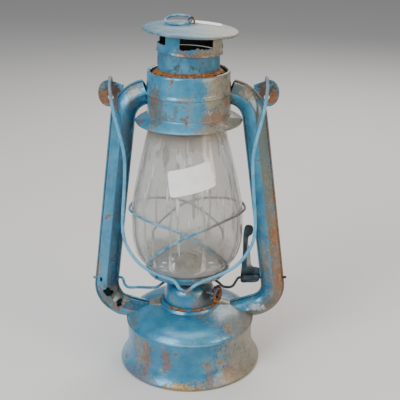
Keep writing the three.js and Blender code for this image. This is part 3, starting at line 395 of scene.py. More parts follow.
class Bench:
    """Builds one material's nodes."""

    def __init__(self, name):
        self.material = bpy.data.materials.new(name)
        self.material.use_nodes = True
        self.tree = self.material.node_tree
        self.tree.nodes.clear()
        self.place = self.add("ShaderNodeTexCoord", out="Object")

    def add(self, kind, settings=None, inputs=None, out=0):
        """Adds a node with its settings, then its sockets' values or links, and gives one output."""
        node = self.tree.nodes.new(kind)
        for key, value in (settings or {}).items():
            setattr(node, key, value)
        for key, value in (inputs or {}).items():
            if isinstance(value, Term):
                self.tree.links.new(value.socket, node.inputs[key])
            else:
                node.inputs[key].default_value = value
        return Term(self, node.outputs[out])

    def between(self, value, low, high):
        """0 below low, 1 above high, smooth in between. Low may be the larger one."""
        settings = {"interpolation_type": "SMOOTHSTEP"}
        return self.add("ShaderNodeMapRange", settings, {0: value, 1: low, 2: high, 3: 0.0, 4: 1.0})

    def larger(self, a, b):
        return self.add("ShaderNodeMath", {"operation": "MAXIMUM"}, {0: a, 1: b})

    def stretched(self, scale, turn=(0, 0, 0)):
        return self.add("ShaderNodeMapping", None, {"Vector": self.place, "Scale": scale, "Rotation": turn})

    def noise(self, scale, detail=4.0, roughness=0.55, at=None, distortion=0.0):
        """Cloudy noise from 0 to 1. The scale counts features in a metre."""
        values = {"Scale": scale, "Detail": detail, "Roughness": roughness, "Distortion": distortion}
        values["Vector"] = self.place if at is None else at
        return self.add("ShaderNodeTexNoise", None, values, out=0)

    def cells(self, scale):
        values = {"Scale": scale, "Vector": self.place}
        return self.add("ShaderNodeTexVoronoi", {"feature": "F1"}, values, out="Distance")

    def axis(self, letter):
        """The place along one axis, in millimetres."""
        split = self.add("ShaderNodeSeparateXYZ", None, {0: self.place}, out="XYZ".index(letter))
        return split * (1 / MM)

    def mix(self, factor, low, high):
        """A colour between two, each a Term or (r, g, b)."""
        values = {MIX_FACTOR: factor, MIX_LOW: rgba(low), MIX_HIGH: rgba(high)}
        return self.add("ShaderNodeMix", {"data_type": "RGBA"}, values, out=MIX_RESULT)

    def spot(self, centre, radius, ragged=0.35, stretch=(1, 1, 1), grain=260):
        """1 in speckles that crowd together round a point in millimetres, 0 far from it."""
        middle = Vector(centre) * MM
        away = self.add("ShaderNodeVectorMath", {"operation": "SUBTRACT"}, {0: self.place, 1: middle})
        shaped = self.add("ShaderNodeVectorMath", {"operation": "MULTIPLY"}, {0: away, 1: stretch})
        length = self.add("ShaderNodeVectorMath", {"operation": "LENGTH"}, {0: shaped}, out="Value")
        nearness = 1.0 - length * (1 / (radius * MM))
        crowding = nearness * 0.8 + (self.noise(grain, 6.0, 0.72) - 0.5) * (9 * ragged)
        return self.between(crowding, 0.05, 0.25)

    def bump(self, height, strength, distance=0.0004):
        values = {"Height": height, "Strength": strength, "Distance": distance}
        return self.add("ShaderNodeBump", None, values)

    def close(self, colour, roughness, metallic=0.0, normal=None, constants=None):
        """Ends the material in one Principled shader and gives the material."""
        values = {"Base Color": rgba(colour), "Roughness": roughness, "Metallic": metallic}
        if normal is not None:
            values["Normal"] = normal
        values.update(constants or {})
        shader = self.add("ShaderNodeBsdfPrincipled", None, values)
        return self.finish(shader)

    def finish(self, shader):
        """Gives the material, with a shader as its surface."""
        output = self.tree.nodes.new("ShaderNodeOutputMaterial")
        self.tree.links.new(shader.socket, output.inputs["Surface"])
        return self.material


def rgba(colour):
    return colour if isinstance(colour, Term) else (*colour, 1.0)


# ---- Finishes -------------------------------------------------------------------------------
def worn_paint(name, colours, stain=(14, 34), chalk=0.0, rust=0.0, seed=0.0, marks=(), facets=()):
    """Sky-blue enamel: chalked in patches, stained khaki towards +X, rusted in spots and streaks.
    The stain runs between two X places. Marks are (centre, radius, colour, strength, stretch).
    Facets are the tubes' lengthwise bands: (from, to, colour, strength) across the tube; one is real rust,
    the rest are painted shade on facets that face away from the light and in seam creases."""
    b = Bench(name)
    here = b.add("ShaderNodeMapping", None, {"Vector": b.place, "Location": (seed, -seed, 0.3 * seed)})
    broad = b.noise(24, 4.0, 0.55, here)
    middle = b.noise(85, 5.0, 0.62, here)
    fine = b.noise(420, 4.0, 0.7, here)
    streak = b.noise(95, 5.0, 0.6, b.add("ShaderNodeMapping", None, {"Vector": here, "Scale": (1, 1, 0.13)}))
    chalked = b.between(broad * 0.5 + middle * 0.5 + chalk, 0.38, 0.68)
    blue = b.mix(chalked, colours.paint, colours.paint_light)
    edge = b.axis("X") + (middle - 0.5) * 46 + (fine - 0.5) * 22
    stained = b.between(edge, stain[0], stain[1])
    khaki = b.mix(b.between(middle * 0.5 + fine * 0.5, 0.36, 0.64), colours.patina, colours.sand)
    pits = b.between(fine * 0.6 + middle * 0.4, 0.47, 0.39) * b.between(edge, stain[0] - 14, stain[0] + 8)
    colour = b.mix(stained * 0.86, blue, khaki)
    colour = b.mix(pits * 0.55, colour, colours.old_rust)
    runs = b.between(streak * 0.62 + broad * 0.38 + rust * 0.08, 0.56, 0.64)
    colour = b.mix(runs * 0.6, colour, colours.sand)
    spots = b.between(middle * 0.55 + fine * 0.3 + broad * 0.15 + rust * 0.06, 0.572, 0.625)
    rusty = b.mix(b.between(fine, 0.4, 0.62), colours.old_rust, colours.rust)
    chips = b.between(b.noise(900, 3.0, 0.6, here) * 0.6 + middle * 0.4, 0.615, 0.65)
    colour = b.mix(chips * 0.7, b.mix(spots, colour, rusty), colours.old_rust)
    worn = spots
    # Tube bands: painted shade on facets that face away from the key light and in the seam creases, besides a
    # rust band on a flange.
    for low, high, shade, strength in facets:
        across = b.add("ShaderNodeAttribute", {"attribute_name": "across"}, out="Fac") + (fine - 0.5) * 0.9
        band = b.between(across, low - 0.25, low + 0.25) * b.between(across, high + 0.25, high - 0.25)
        colour = b.mix(band * strength * b.between(middle, 0.28, 0.5), colour, shade)
    for centre, radius, shade, strength, stretch in marks:
        patch = b.spot(centre, radius, stretch=stretch)
        speckled = b.mix(b.between(fine, 0.4, 0.58) * 0.55, shade, colours.old_rust)
        colour = b.mix(patch * strength, colour, speckled)
        worn = b.larger(worn, patch * strength)
    roughness = b.between(worn * 0.5 + fine * 0.25 + stained * 0.25, 0.0, 1.0) * 0.5 + 0.22
    grain = fine * 0.5 + middle * 0.35 - worn * 0.5
    coat = {"Coat Weight": 0.3, "Coat Roughness": 0.22}
    return b.close(colour, roughness, 0.22, b.bump(grain, 0.7, 0.0006), coat)


def faded_paint(name, colours, seed=0.0, sandy=(6, 34)):
    """Paint bleached by heat: grey-blue at -X, sand-coloured at +X, with brushed scrapes."""
    b = Bench(name)
    here = b.add("ShaderNodeMapping", None, {"Vector": b.place, "Location": (seed, seed, 0)})
    broad = b.noise(30, 4.0, 0.55, here)
    middle = b.noise(120, 5.0, 0.65, here)
    fine = b.noise(520, 4.0, 0.7, here)
    sideways = b.add("ShaderNodeMapping", None, {"Vector": here, "Scale": (0.12, 1, 1)})
    brushed = b.noise(190, 4.0, 0.6, sideways)
    pale = b.mix(b.between(brushed, 0.35, 0.68), (0.055, 0.125, 0.175), (0.15, 0.25, 0.30))
    sandy_mask = b.between(b.axis("X") + (middle - 0.5) * 40, sandy[0], sandy[1])
    earthy = b.mix(b.between(fine, 0.3, 0.7), colours.patina, (0.26, 0.24, 0.19))
    colour = b.mix(sandy_mask * 0.9, pale, earthy)
    colour = b.mix(b.between(broad * 0.5 + middle * 0.5, 0.56, 0.62) * 0.6, colour, (0.10, 0.20, 0.22))
    spots = b.between(middle * 0.6 + fine * 0.4, 0.61, 0.66)
    colour = b.mix(spots, colour, b.mix(b.between(fine, 0.4, 0.6), colours.old_rust, colours.rust))
    grain = b.bump(fine * 0.5 + middle * 0.5, 0.5, 0.0004)
    return b.close(colour, spots * 0.3 + fine * 0.2 + 0.42, 0.05, grain)


def rusted(name, colours, fresh=0.5, blue=0.0):
    """Rough rust from dark brown to orange, with a share of blue paint left on."""
    b = Bench(name)
    middle = b.noise(130, 5.0, 0.65)
    fine = b.noise(520, 5.0, 0.75)
    bright = b.between(middle * 0.5 + fine * 0.5 + (fresh - 0.5) * 0.25, 0.38, 0.62)
    colour = b.mix(bright, colours.old_rust, colours.rust)
    colour = b.mix(b.between(b.noise(260, 4.0), 0.56, 0.66) * 0.7, colour, colours.sand)
    if blue:
        left = b.between(b.noise(70, 5.0, 0.65), 0.62 - 0.2 * blue, 0.66 - 0.2 * blue)
        colour = b.mix(left, colour, colours.paint)
    return b.close(colour, fine * 0.2 + 0.68, 0.1, b.bump(fine * 0.6 + middle * 0.6, 0.8, 0.0006))


def soot_lining(name, colours):
    """Black soot over brown rust, where the hot air passes."""
    b = Bench(name)
    middle = b.noise(120, 5.0, 0.65)
    fine = b.noise(520, 4.0, 0.7)
    colour = b.mix(b.between(middle * 0.6 + fine * 0.4, 0.5, 0.66), colours.soot, (0.055, 0.026, 0.014))
    return b.close(colour, 0.92, 0.0, b.bump(fine, 0.5, 0.0003))


def guard_paint(name, colours):
    """Wire that is blue and chalky at -X and bare and brown at +X."""
    b = Bench(name)
    middle = b.noise(110, 5.0, 0.65)
    fine = b.noise(600, 4.0, 0.7)
    bare = b.between(b.axis("X") + (middle - 0.5) * 70, 4, 26)
    blue = b.mix(b.between(middle, 0.4, 0.62), colours.paint, (0.19, 0.36, 0.46))
    brown = b.mix(b.between(fine, 0.4, 0.6), colours.old_rust, (0.20, 0.16, 0.13))
    spots = b.between(middle * 0.5 + fine * 0.5, 0.57, 0.63)
    colour = b.mix(spots, b.mix(bare * 0.85, blue, brown), colours.rust)
    return b.close(colour, fine * 0.25 + 0.4, 0.1, b.bump(fine, 0.5, 0.0003))


def bright_wire_paint(name, colours):
    """The bail's paint: clean light blue, with rust where hands and ears have rubbed it."""
    b = Bench(name)
    middle = b.noise(90, 5.0, 0.65)
    fine = b.noise(650, 4.0, 0.7)
    colour = b.mix(b.between(middle, 0.35, 0.65), (0.05, 0.24, 0.42), (0.13, 0.38, 0.55))
    rubbed = b.spot((-1, -40, 86), 7, 0.4)
    eyes = b.between(b.axis("Z") + (middle - 0.5) * 24, 238, 250)
    spots = b.larger(b.between(middle * 0.5 + fine * 0.5, 0.59, 0.64), b.larger(rubbed * 0.8, eyes * 0.55))
    colour = b.mix(spots, colour, b.mix(b.between(fine, 0.4, 0.6), colours.old_rust, colours.rust))
    return b.close(colour, spots * 0.3 + fine * 0.15 + 0.3, 0.05, b.bump(fine, 0.4, 0.0002))


def tarnished_brass(name, colours):
    b = Bench(name)
    middle = b.noise(140, 5.0, 0.6)
    fine = b.noise(600, 4.0, 0.7)
    colour = b.mix(b.between(middle, 0.35, 0.65), colours.brass, (0.10, 0.075, 0.045))
    colour = b.mix(b.between(fine, 0.55, 0.66) * 0.6, colour, (0.12, 0.22, 0.19))
    return b.close(colour, middle * 0.3 + 0.35, 0.75, b.bump(fine, 0.3, 0.0002))


def dull_steel(name, colours):
    b = Bench(name)
    middle = b.noise(100, 5.0, 0.6)
    fine = b.noise(700, 4.0, 0.7)
    colour = b.mix(b.between(middle, 0.5, 0.66), colours.steel, colours.old_rust)
    return b.close(colour, fine * 0.3 + 0.4, 0.7, b.bump(fine, 0.3, 0.0002))


def woven_cotton(name):
    """Flat woven wick, charred at its tip."""
    b = Bench(name)
    weave, warp = (
        b.add("ShaderNodeTexWave", {"bands_direction": way}, {"Vector": b.place, "Scale": scale}, out="Fac")
        for way, scale in (("Z", 380.0), ("X", 420.0))
    )
    yarn = b.mix(weave * warp, (0.34, 0.27, 0.17), (0.66, 0.58, 0.43))
    char = b.between(b.axis("Z") + (b.noise(500) - 0.5) * 4, 93, 96)
    return b.close(b.mix(char, yarn, (0.02, 0.017, 0.015)), 0.95, 0.0, b.bump(weave * warp, 0.6, 0.0003))


def pressed_cork(name):
    b = Bench(name)
    crumbs = b.cells(900.0)
    colour = b.mix(b.between(crumbs, 0.1, 0.6), (0.05, 0.03, 0.018), (0.24, 0.15, 0.08))
    return b.close(colour, 0.92, 0.0, b.bump(crumbs, 0.6, 0.0003))


def blank_paper(name, colours):
    """White label paper: faint fibres and grubby patches."""
    b = Bench(name)
    fibre = b.noise(900, 4.0, 0.7, b.stretched((1, 1, 2.4)))
    grime = b.between(b.noise(60, 4.0, 0.6), 0.5, 0.72)
    colour = b.mix(grime * 0.35, colours.paper, (0.60, 0.57, 0.55))
    return b.close(b.mix(fibre * 0.16, colour, (0.62, 0.60, 0.60)), 0.72, 0.0, b.bump(fibre, 0.25, 0.0002))


def dusty_glass(name):
    """Clear blown glass under a film of dust, sooted below the hood and scratched all over."""
    b = Bench(name)
    broad = b.noise(22, 4.0, 0.6)
    fine = b.noise(380, 5.0, 0.7)
    scratches = b.larger(
        b.between(b.noise(150, 2.0, 0.5, b.stretched((1, 1, 0.05), (0.2, 0.5, 0.3))), 0.63, 0.67),
        b.between(b.noise(130, 2.0, 0.5, b.stretched((1, 1, 0.06), (0.3, -0.7, 0.1))), 0.64, 0.68),
    )
    height = b.axis("Z")
    neck = b.between(height + (broad - 0.5) * 30, 196, 224)
    foot = b.between(height + (broad - 0.5) * 24, 112, 92)
    film = broad * 0.26 + fine * 0.12 + neck * 0.32 + foot * 0.36 + scratches * 0.4 + 0.1
    dust = b.mix(neck, b.mix(broad, (0.46, 0.42, 0.37), (0.62, 0.60, 0.56)), (0.26, 0.22, 0.18))
    grain = b.bump(fine * 0.4 + broad * 0.5, 0.06, 0.0004)
    clear = b.add(
        "ShaderNodeBsdfPrincipled",
        None,
        {
            "Base Color": (0.97, 0.985, 0.975, 1),
            "Roughness": broad * 0.06 + 0.015,
            "IOR": 1.46,
            "Transmission Weight": 1.0,
            "Normal": grain,
        },
    )
    dusty = b.add("ShaderNodeBsdfPrincipled", None, {"Base Color": dust, "Roughness": 0.85})
    return b.finish(b.add("ShaderNodeMixShader", None, {0: b.between(film, 0.0, 1.0), 1: clear, 2: dusty}))


# ---- Pieces ---------------------------------------------------------------------------------
ROUND = (1, 1, 1)
TALL = (1, 1, 0.4)
WIDE = (0.4, 0.4, 1)


class PieceOperator:
    """What every piece's operator shares: its sizes and colours."""

    bl_options = {"REGISTER", "UNDO"}

    @property
    def sizes(self):
        return bpy.context.scene.lantern_sizes

    @property
    def colours(self):
        return bpy.context.scene.lantern_colours


class LANTERN_OT_fount(PieceOperator, bpy.types.Operator):
    """Build the fount: its skirted wall, floor, dome and the ring round the bell"""

    bl_idname = "lantern.fount"
    bl_label = "Fount"

    def execute(self, context):
        sizes, colours = self.sizes, self.colours
        sheet = sizes.sheet / MM
        foot = [(61.2, 0), (62.3, 0.2), (62.9, 0.9), (63, 1.8), (62.8, 2.8), (62.2, 3.5)]
        skirt = bend((60.2, 6.6), (57.1, 12), (56.4, 16.6), 12)
        step = [(56.1, 17.2), (55.8, 20), (55.7, 28.3), (55.9, 35), (56.3, 38.6), (56.3, 39.6)]
        wall = foot + skirt + step
        bm = bmesh.new()
        inner = offset(wall, sheet)[5:]
        spin_line(bm, wall + inner[::-1] + [(60.6, 3.6), (60.4, 0.3)], sizes.sides, closed=True)
        beat(bm, sizes.dents, 24, 1)
        orange, sand, dark = colours.rust, colours.sand, colours.soot
        marks = (
            ((-38, -42, 20), 7, orange, 0.7, (1, 1, 0.35)),
            ((-20, -53, 24), 5, orange, 0.65, (1, 1, 0.4)),
            ((-44, -36, 27), 9, sand, 0.6, (1, 1, 0.4)),
            ((-6, -61, 2), 16, (0.50, 0.30, 0.03), 0.8, (0.8, 0.8, 3)),
            ((-46, -43, 1), 20, orange, 0.45, (0.7, 0.7, 3)),
            ((30, -55, 1.5), 24, sand, 0.55, (0.6, 0.6, 3)),
            ((16, -54, 18), 5, sand, 0.55, ROUND),
            ((18, -57, 8), 5, orange, 0.5, TALL),
            ((34, -47, 9), 7, orange, 0.5, ROUND),
        )
        paint = worn_paint("fount wall paint", colours, (14, 40), 0.02, 0.2, 0.1, marks)
        finish_piece("fount_skirt", bm, paint, "frame", ["fount_wall"])

        bm = bmesh.new()
        rise = bend((56.3, 41.6), (50, 53.2), (27, 54.6), 26)
        dome = [(56.9, 39.9), (57.3, 40.4), (57.2, 41.1)] + rise + [(26.2, 55.6), (25.6, 56.8), (15.9, 56.8)]
        spin_line(bm, sheet_outline(dome, sheet), sizes.sides, closed=True)
        beat(bm, 1.4 * sizes.dents, 20, 2)
        marks = (
            # Painted highlight: the sand and orange spots at the front right of the dome paint the warm
            # light's reflection on the dome.
            ((33, -35, 47), 5, sand, 0.8, ROUND),
            ((34, -38, 45), 3, orange, 0.7, ROUND),
            ((38, -22, 49), 26, sand, 0.5, ROUND),
            ((-50, -20, 42), 10, colours.patina, 0.6, ROUND),
            ((-30, -40, 44), 3, dark, 0.7, (0.5, 1, 2)),
            ((10, -27, 54.5), 7, orange, 0.3, ROUND),
        )
        paint = worn_paint("fount dome paint", colours, (26, 62), 0.04, -0.35, 0.37, marks)
        finish_piece("fount_top", bm, paint, "frame", ["fount_dome"])

        bm = bmesh.new()
        pan = [(0, 8), (53.9, 8), (54.6, 9.2), (54.6, 25), (53.9, 25), (53.9, 9.4), (53.3, 8.7), (0, 8.7)]
        spin_line(bm, pan, sizes.sides)
        steel = dull_steel("tinned floor", colours)
        finish_piece("fount_pan", bm, steel, "frame", ["fount_floor"])

        bm = bmesh.new()
        bead = [(23.3, 57.1), (25.2, 57.1), (25.75, 57.6), (25.6, 58.5)]
        bead += [(24.9, 59.05), (24, 59.1), (23.3, 58.9)]
        spin_line(bm, bead, sizes.sides, closed=True)
        beat(bm, 0.5 * MM, 5, 3)
        ring = rusted("collar ring rust", colours, 0.62, 0.5)
        finish_piece("bell_ring", bm, ring, "frame", ["fount_collar_ring"])
        return {"FINISHED"}


class LANTERN_OT_air_chamber(PieceOperator, bpy.types.Operator):
    """Build the bell round the burner and the two low ducts that lead to the tubes"""

    bl_idname = "lantern.air_chamber"
    bl_label = "Air chamber"

    def execute(self, context):
        sizes, colours = self.sizes, self.colours
        bell = [(22.6, 57.1)] + bend((23, 60.1), (22.6, 73.1), (16.8, 75.2), 18) + [(15.2, 75.7)]
        bm = bmesh.new()
        spin_line(bm, sheet_outline(bell, sizes.sheet / MM), sizes.sides, closed=True)
        beat(bm, sizes.dents, 14, 4)
        marks = (
            ((7, -22, 63), 5, colours.rust, 0.45, ROUND),
            ((14, -17, 66), 8, colours.patina, 0.55, ROUND),
        )
        paint = worn_paint("bell paint", colours, (4, 22), 0.0, -0.1, 0.6, marks)
        finish_piece("bell", bm, paint, "frame", ["air_chamber"])

        start, reach, fall, steps, arc = 26.1, 36.2, 0.34, 8, 20
        dust = worn_paint("duct paint", colours, (-60, -30), 0.0, 0.3, 0.8)
        for side, sign in (("left", -1), ("right", 1)):
            bm = bmesh.new()
            turns = [math.pi * i / arc for i in range(arc + 1)]
            arch = [(start * sign, 8 * math.cos(t), 52.7 + 5 * math.sin(t)) for t in turns]
            verts = [bm.verts.new(Vector(p) * MM) for p in arch]
            rim = [bm.edges.new(pair) for pair in zip(verts, verts[1:])]
            stride = (reach - start) / steps
            for _ in range(steps):
                grown = bmesh.ops.extrude_edge_only(bm, edges=rim)["geom"]
                moved = only(grown, bmesh.types.BMVert)
                rim = only(grown, bmesh.types.BMEdge)
                bmesh.ops.translate(bm, vec=Vector((stride * sign, 0, -stride * fall)) * MM, verts=moved)
            duct = finish_piece("duct_" + side, bm, dust, "frame", ["air_duct_" + side])
            face_outwards(duct, Vector((0, 0, 1)))
            thicken(duct, sizes.sheet)
        return {"FINISHED"}


BURNER_TURN = turned(-30, "Z")


class LANTERN_OT_burner(PieceOperator, bpy.types.Operator):
    """Build the burner: body, slotted cone, wick and the wick raiser with its notched knob"""

    bl_idname = "lantern.burner"
    bl_label = "Burner"

    def execute(self, context):
        sizes, colours = self.sizes, self.colours
        brass = tarnished_brass("burner brass", colours)
        for node in ("burner_collar", "wick_tube", "wick_ratchet_left", "wick_ratchet_right"):
            dress_node(node, brass)
        dress_node("wick", woven_cotton("wick cotton"))

        bm = bmesh.new()
        body = [(12.0, 53.8), (13.2, 53.8), (13.2, 61.4), (14.6, 61.5), (14.8, 62.1)]
        body += [(12.4, 62.8), (12.4, 76.8), (14.2, 77.4), (14.6, 77.9), (14.5, 78.4)]
        body += [(9.1, 78.4), (9.1, 77.4), (11.2, 76.6), (11.2, 61.8), (12.0, 60.8)]
        spin_line(bm, body, sizes.sides, closed=True)
        finish_piece("burner_base", bm, brass, "frame", ["burner_body"])

        bm = bmesh.new()
        outer = [(13.6, 78.7), (13.6, 88)] + bend((13.3, 90), (12.1, 100.5), (4, 102), 14) + [(0, 102)]
        inner = offset(outer, sizes.sheet / MM)[:-1] + [(0, 101.3)]
        spin_line(bm, inner[::-1] + outer, sizes.sides)
        half_long, half_wide = 9, 2.5
        for place, normal in (
            ((half_long, 0, 0), (1, 0, 0)),
            ((-half_long, 0, 0), (1, 0, 0)),
            ((0, half_wide, 0), (0, 1, 0)),
            ((0, -half_wide, 0), (0, 1, 0)),
        ):
            geom = bm.verts[:] + bm.edges[:] + bm.faces[:]
            bmesh.ops.bisect_plane(bm, geom=geom, plane_co=Vector(place) * MM, plane_no=normal)
        slot = []
        for face in bm.faces:
            middle = face.calc_center_median() / MM
            if middle.z > 95 and abs(middle.x) < half_long and abs(middle.y) < half_wide:
                slot.append(face)
        bmesh.ops.delete(bm, geom=slot, context="FACES")
        finish_piece("flame_cone", bm, brass, "frame", ["burner_cone"], place=BURNER_TURN)

        bm = bmesh.new()
        add_wire(bm, [(-7, -4.3, 70.8), (32.8, -4.3, 70.8)], 0.0012, 4)
        steel = dull_steel("shaft steel", colours)
        finish_piece(
            "raiser_shaft", bm, steel, "wick_adjuster", ["wick_shaft"], place=BURNER_TURN
        )

        bm = bmesh.new()
        notches, steps, radius, thick = 12, 8, 7.5, 4.2
        rim = []
        for i in range(notches * steps):
            turn = 2 * math.pi * i / (notches * steps)
            r = radius - 0.45 + 0.45 * math.tanh(3 * math.cos(notches * turn))
            rim.append(bm.verts.new(Vector((r * math.cos(turn), r * math.sin(turn), -thick / 2)) * MM))
        back = bm.faces.new(rim)
        grown = bmesh.ops.extrude_face_region(bm, geom=[back])["geom"]
        front = only(grown, bmesh.types.BMFace)
        moved = only(grown, bmesh.types.BMVert)
        bmesh.ops.translate(bm, vec=(0, 0, thick * MM), verts=moved)
        bmesh.ops.inset_region(bm, faces=front, thickness=0.5 * MM, depth=0.35 * MM)
        bmesh.ops.inset_region(bm, faces=front, thickness=1.0 * MM)
        bmesh.ops.inset_region(bm, faces=front, thickness=0.8 * MM, depth=-1.6 * MM)
        bmesh.ops.inset_region(bm, faces=front, thickness=1.6 * MM)
        bmesh.ops.inset_region(bm, faces=front, thickness=0.5 * MM, depth=1.2 * MM)
        place = BURNER_TURN @ shifted(29.7, -4.3, 70.8) @ turned(90, "Y")
        knob = rusted("knob rust", colours, 0.6, 0.25)
        finish_piece("raiser_knob", bm, knob, "wick_adjuster", ["wick_knob"], place=place)
        return {"FINISHED"}


class LANTERN_OT_filler(PieceOperator, bpy.types.Operator):
    """Build the fuel filler on the back of the dome: neck and knurled cap"""

    bl_idname = "lantern.filler"
    bl_label = "Filler"

    def execute(self, context):
        colours = self.colours
        place = shifted(0, 40.5, 52.448) @ turned(-15, "X")
        bm = bmesh.new()
        neck = [(7.6, -4), (8.3, -4), (8.3, 1.2), (10.4, 1.1), (10.6, 1.6)]
        neck += [(8.5, 2.0), (8.3, 2.6), (8.3, 7.1), (8.1, 7.3), (7.6, 7.3)]
        spin_line(bm, neck, 64, closed=True)
        steel = dull_steel("neck steel", colours)
        finish_piece("neck", bm, steel, "frame", ["filler_neck"], place=place)

        bm = bmesh.new()
        cap = [(0, 9.1), (8.6, 9.1), (8.6, 4.1), (9.7, 4.1), (9.8, 4.7), (9.4, 5.2), (9.4, 9.4), (9.1, 10.1)]
        spin_line(bm, cap + [(8.3, 10.5), (6.6, 10.6), (6.2, 10.4), (0, 10.4)], 192)
        grips = 32
        for vert in bm.verts:
            flat_place = Vector((vert.co.x, vert.co.y, 0))
            if flat_place.length > 9.2 * MM and 5 < vert.co.z / MM < 9.6:
                turn = math.atan2(vert.co.y, vert.co.x)
                vert.co += flat_place.normalized() * 0.4 * MM * max(math.cos(grips * turn), -0.4)
        paint = worn_paint("filler cap paint", colours, (40, 60), 0.0, 0.4, 1.3)
        finish_piece("screw_cap", bm, paint, "filler_cap", ["filler_cap"], place=place)
        dress_node("filler_gasket", pressed_cork("cork washer"))
        return {"FINISHED"}


def dress_node(node, material):
    """Gives a CAD node that is shown as it is its finish."""
    mesh = frame["nodes"][node].data
    mesh.materials.clear()
    mesh.materials.append(material)


# ---- Tubes ----------------------------------------------------------------------------------
TUBE_FOOT, TUBE_ELBOW = Vector((38.4, 47)), Vector((76.3, 55.1))
TUBE_CORNER, TUBE_END = Vector((52.2, 248.3)), Vector((34.3, 248.3))


def rounded_corner(start, corner, end, radius, steps):
    """Points along the arc that rounds a corner between two straight runs."""
    inward, outward = (corner - start).normalized(), (end - corner).normalized()
    turn = inward.angle(outward)
    first = corner - inward * radius * math.tan(turn / 2)
    side = 1 if inward.x * outward.y - inward.y * outward.x > 0 else -1
    arm = Vector((inward.y, -inward.x)) * side * radius
    centre = first - arm
    return [centre + Matrix.Rotation(side * turn * i / steps, 2) @ arm for i in range(steps + 1)]


def tube_frames():
    """The stations of the right-hand tube. Section x points to the front and y outwards."""
    elbow = rounded_corner(TUBE_FOOT, TUBE_ELBOW, TUBE_CORNER, 20, 14)
    shoulder = rounded_corner(TUBE_ELBOW, TUBE_CORNER, TUBE_END, 24, 16)
    shoulder = [p for p in shoulder if p.x > TUBE_END.x + 0.5]
    foot = [TUBE_FOOT.lerp(elbow[0], i / 5) for i in range(5)]
    straight = [elbow[-1].lerp(shoulder[0], i / 40) for i in range(1, 40)]
    points = foot + elbow + straight + shoulder + [TUBE_END]
    frames = []
    for i, point in enumerate(points):
        along = (points[min(i + 1, len(points) - 1)] - points[max(i - 1, 0)]).normalized()
        width = 0.85 + 0.15 * min(i / 5, 1)
        front = Vector((0, -1, 0))
        outward = Vector((along.y, 0, -along.x)) * width
        heading = Vector((along.x, 0, along.y))
        turn = Matrix((front, outward, heading)).transposed().to_4x4()
        frames.append(shifted(point.x, 0, point.y) @ turn @ Matrix.Scale(MM, 4))
    return frames


def mark_across(bm, frames):
    """Notes on each vertex how far it lies outwards of the tube's middle line, in millimetres."""
    layer = bm.verts.layers.float.new("across")
    for vert in bm.verts:
        nearest = min(frames, key=lambda frame: (frame.translation - vert.co).length_squared)
        vert[layer] = (nearest.inverted() @ vert.co).y


def crush(bm, centre, radius, push, grain):
    """Buckles a shell round a point in millimetres."""
    middle = Vector(centre) * MM
    for vert in bm.verts:
        near = max(0, 1 - (vert.co - middle).length / (radius * MM))
        if near > 0:
            fold = noise.noise(vert.co / (grain * MM))
            vert.co += (Vector(push) * near + Vector((fold, -fold, fold)) * 2.6 * near) * MM


def soften(bm, verts):
    """Takes the sawteeth off a torn edge."""
    every_way = {"use_axis_x": True, "use_axis_y": True, "use_axis_z": True}
    for _ in range(2):
        bmesh.ops.smooth_vert(bm, verts=verts, factor=0.5, **every_way)


def eat_holes(bm, holes):
    """Rusts ragged holes through a single surface. Holes are (centre, radius) in millimetres."""
    lost = []
    for face in bm.faces:
        middle = face.calc_center_median() / MM
        for centre, radius in holes:
            ragged = radius * (1 + 0.5 * noise.noise(middle * 0.5))
            if (middle - Vector(centre)).length < ragged:
                lost.append(face)
                break
    bmesh.ops.delete(bm, geom=lost, context="FACES")
    rim = [v for v in bm.verts if v.is_boundary]
    ring = [v for v in rim if any((v.co / MM - Vector(c)).length < r + 2.5 for c, r in holes)]
    soften(bm, ring)


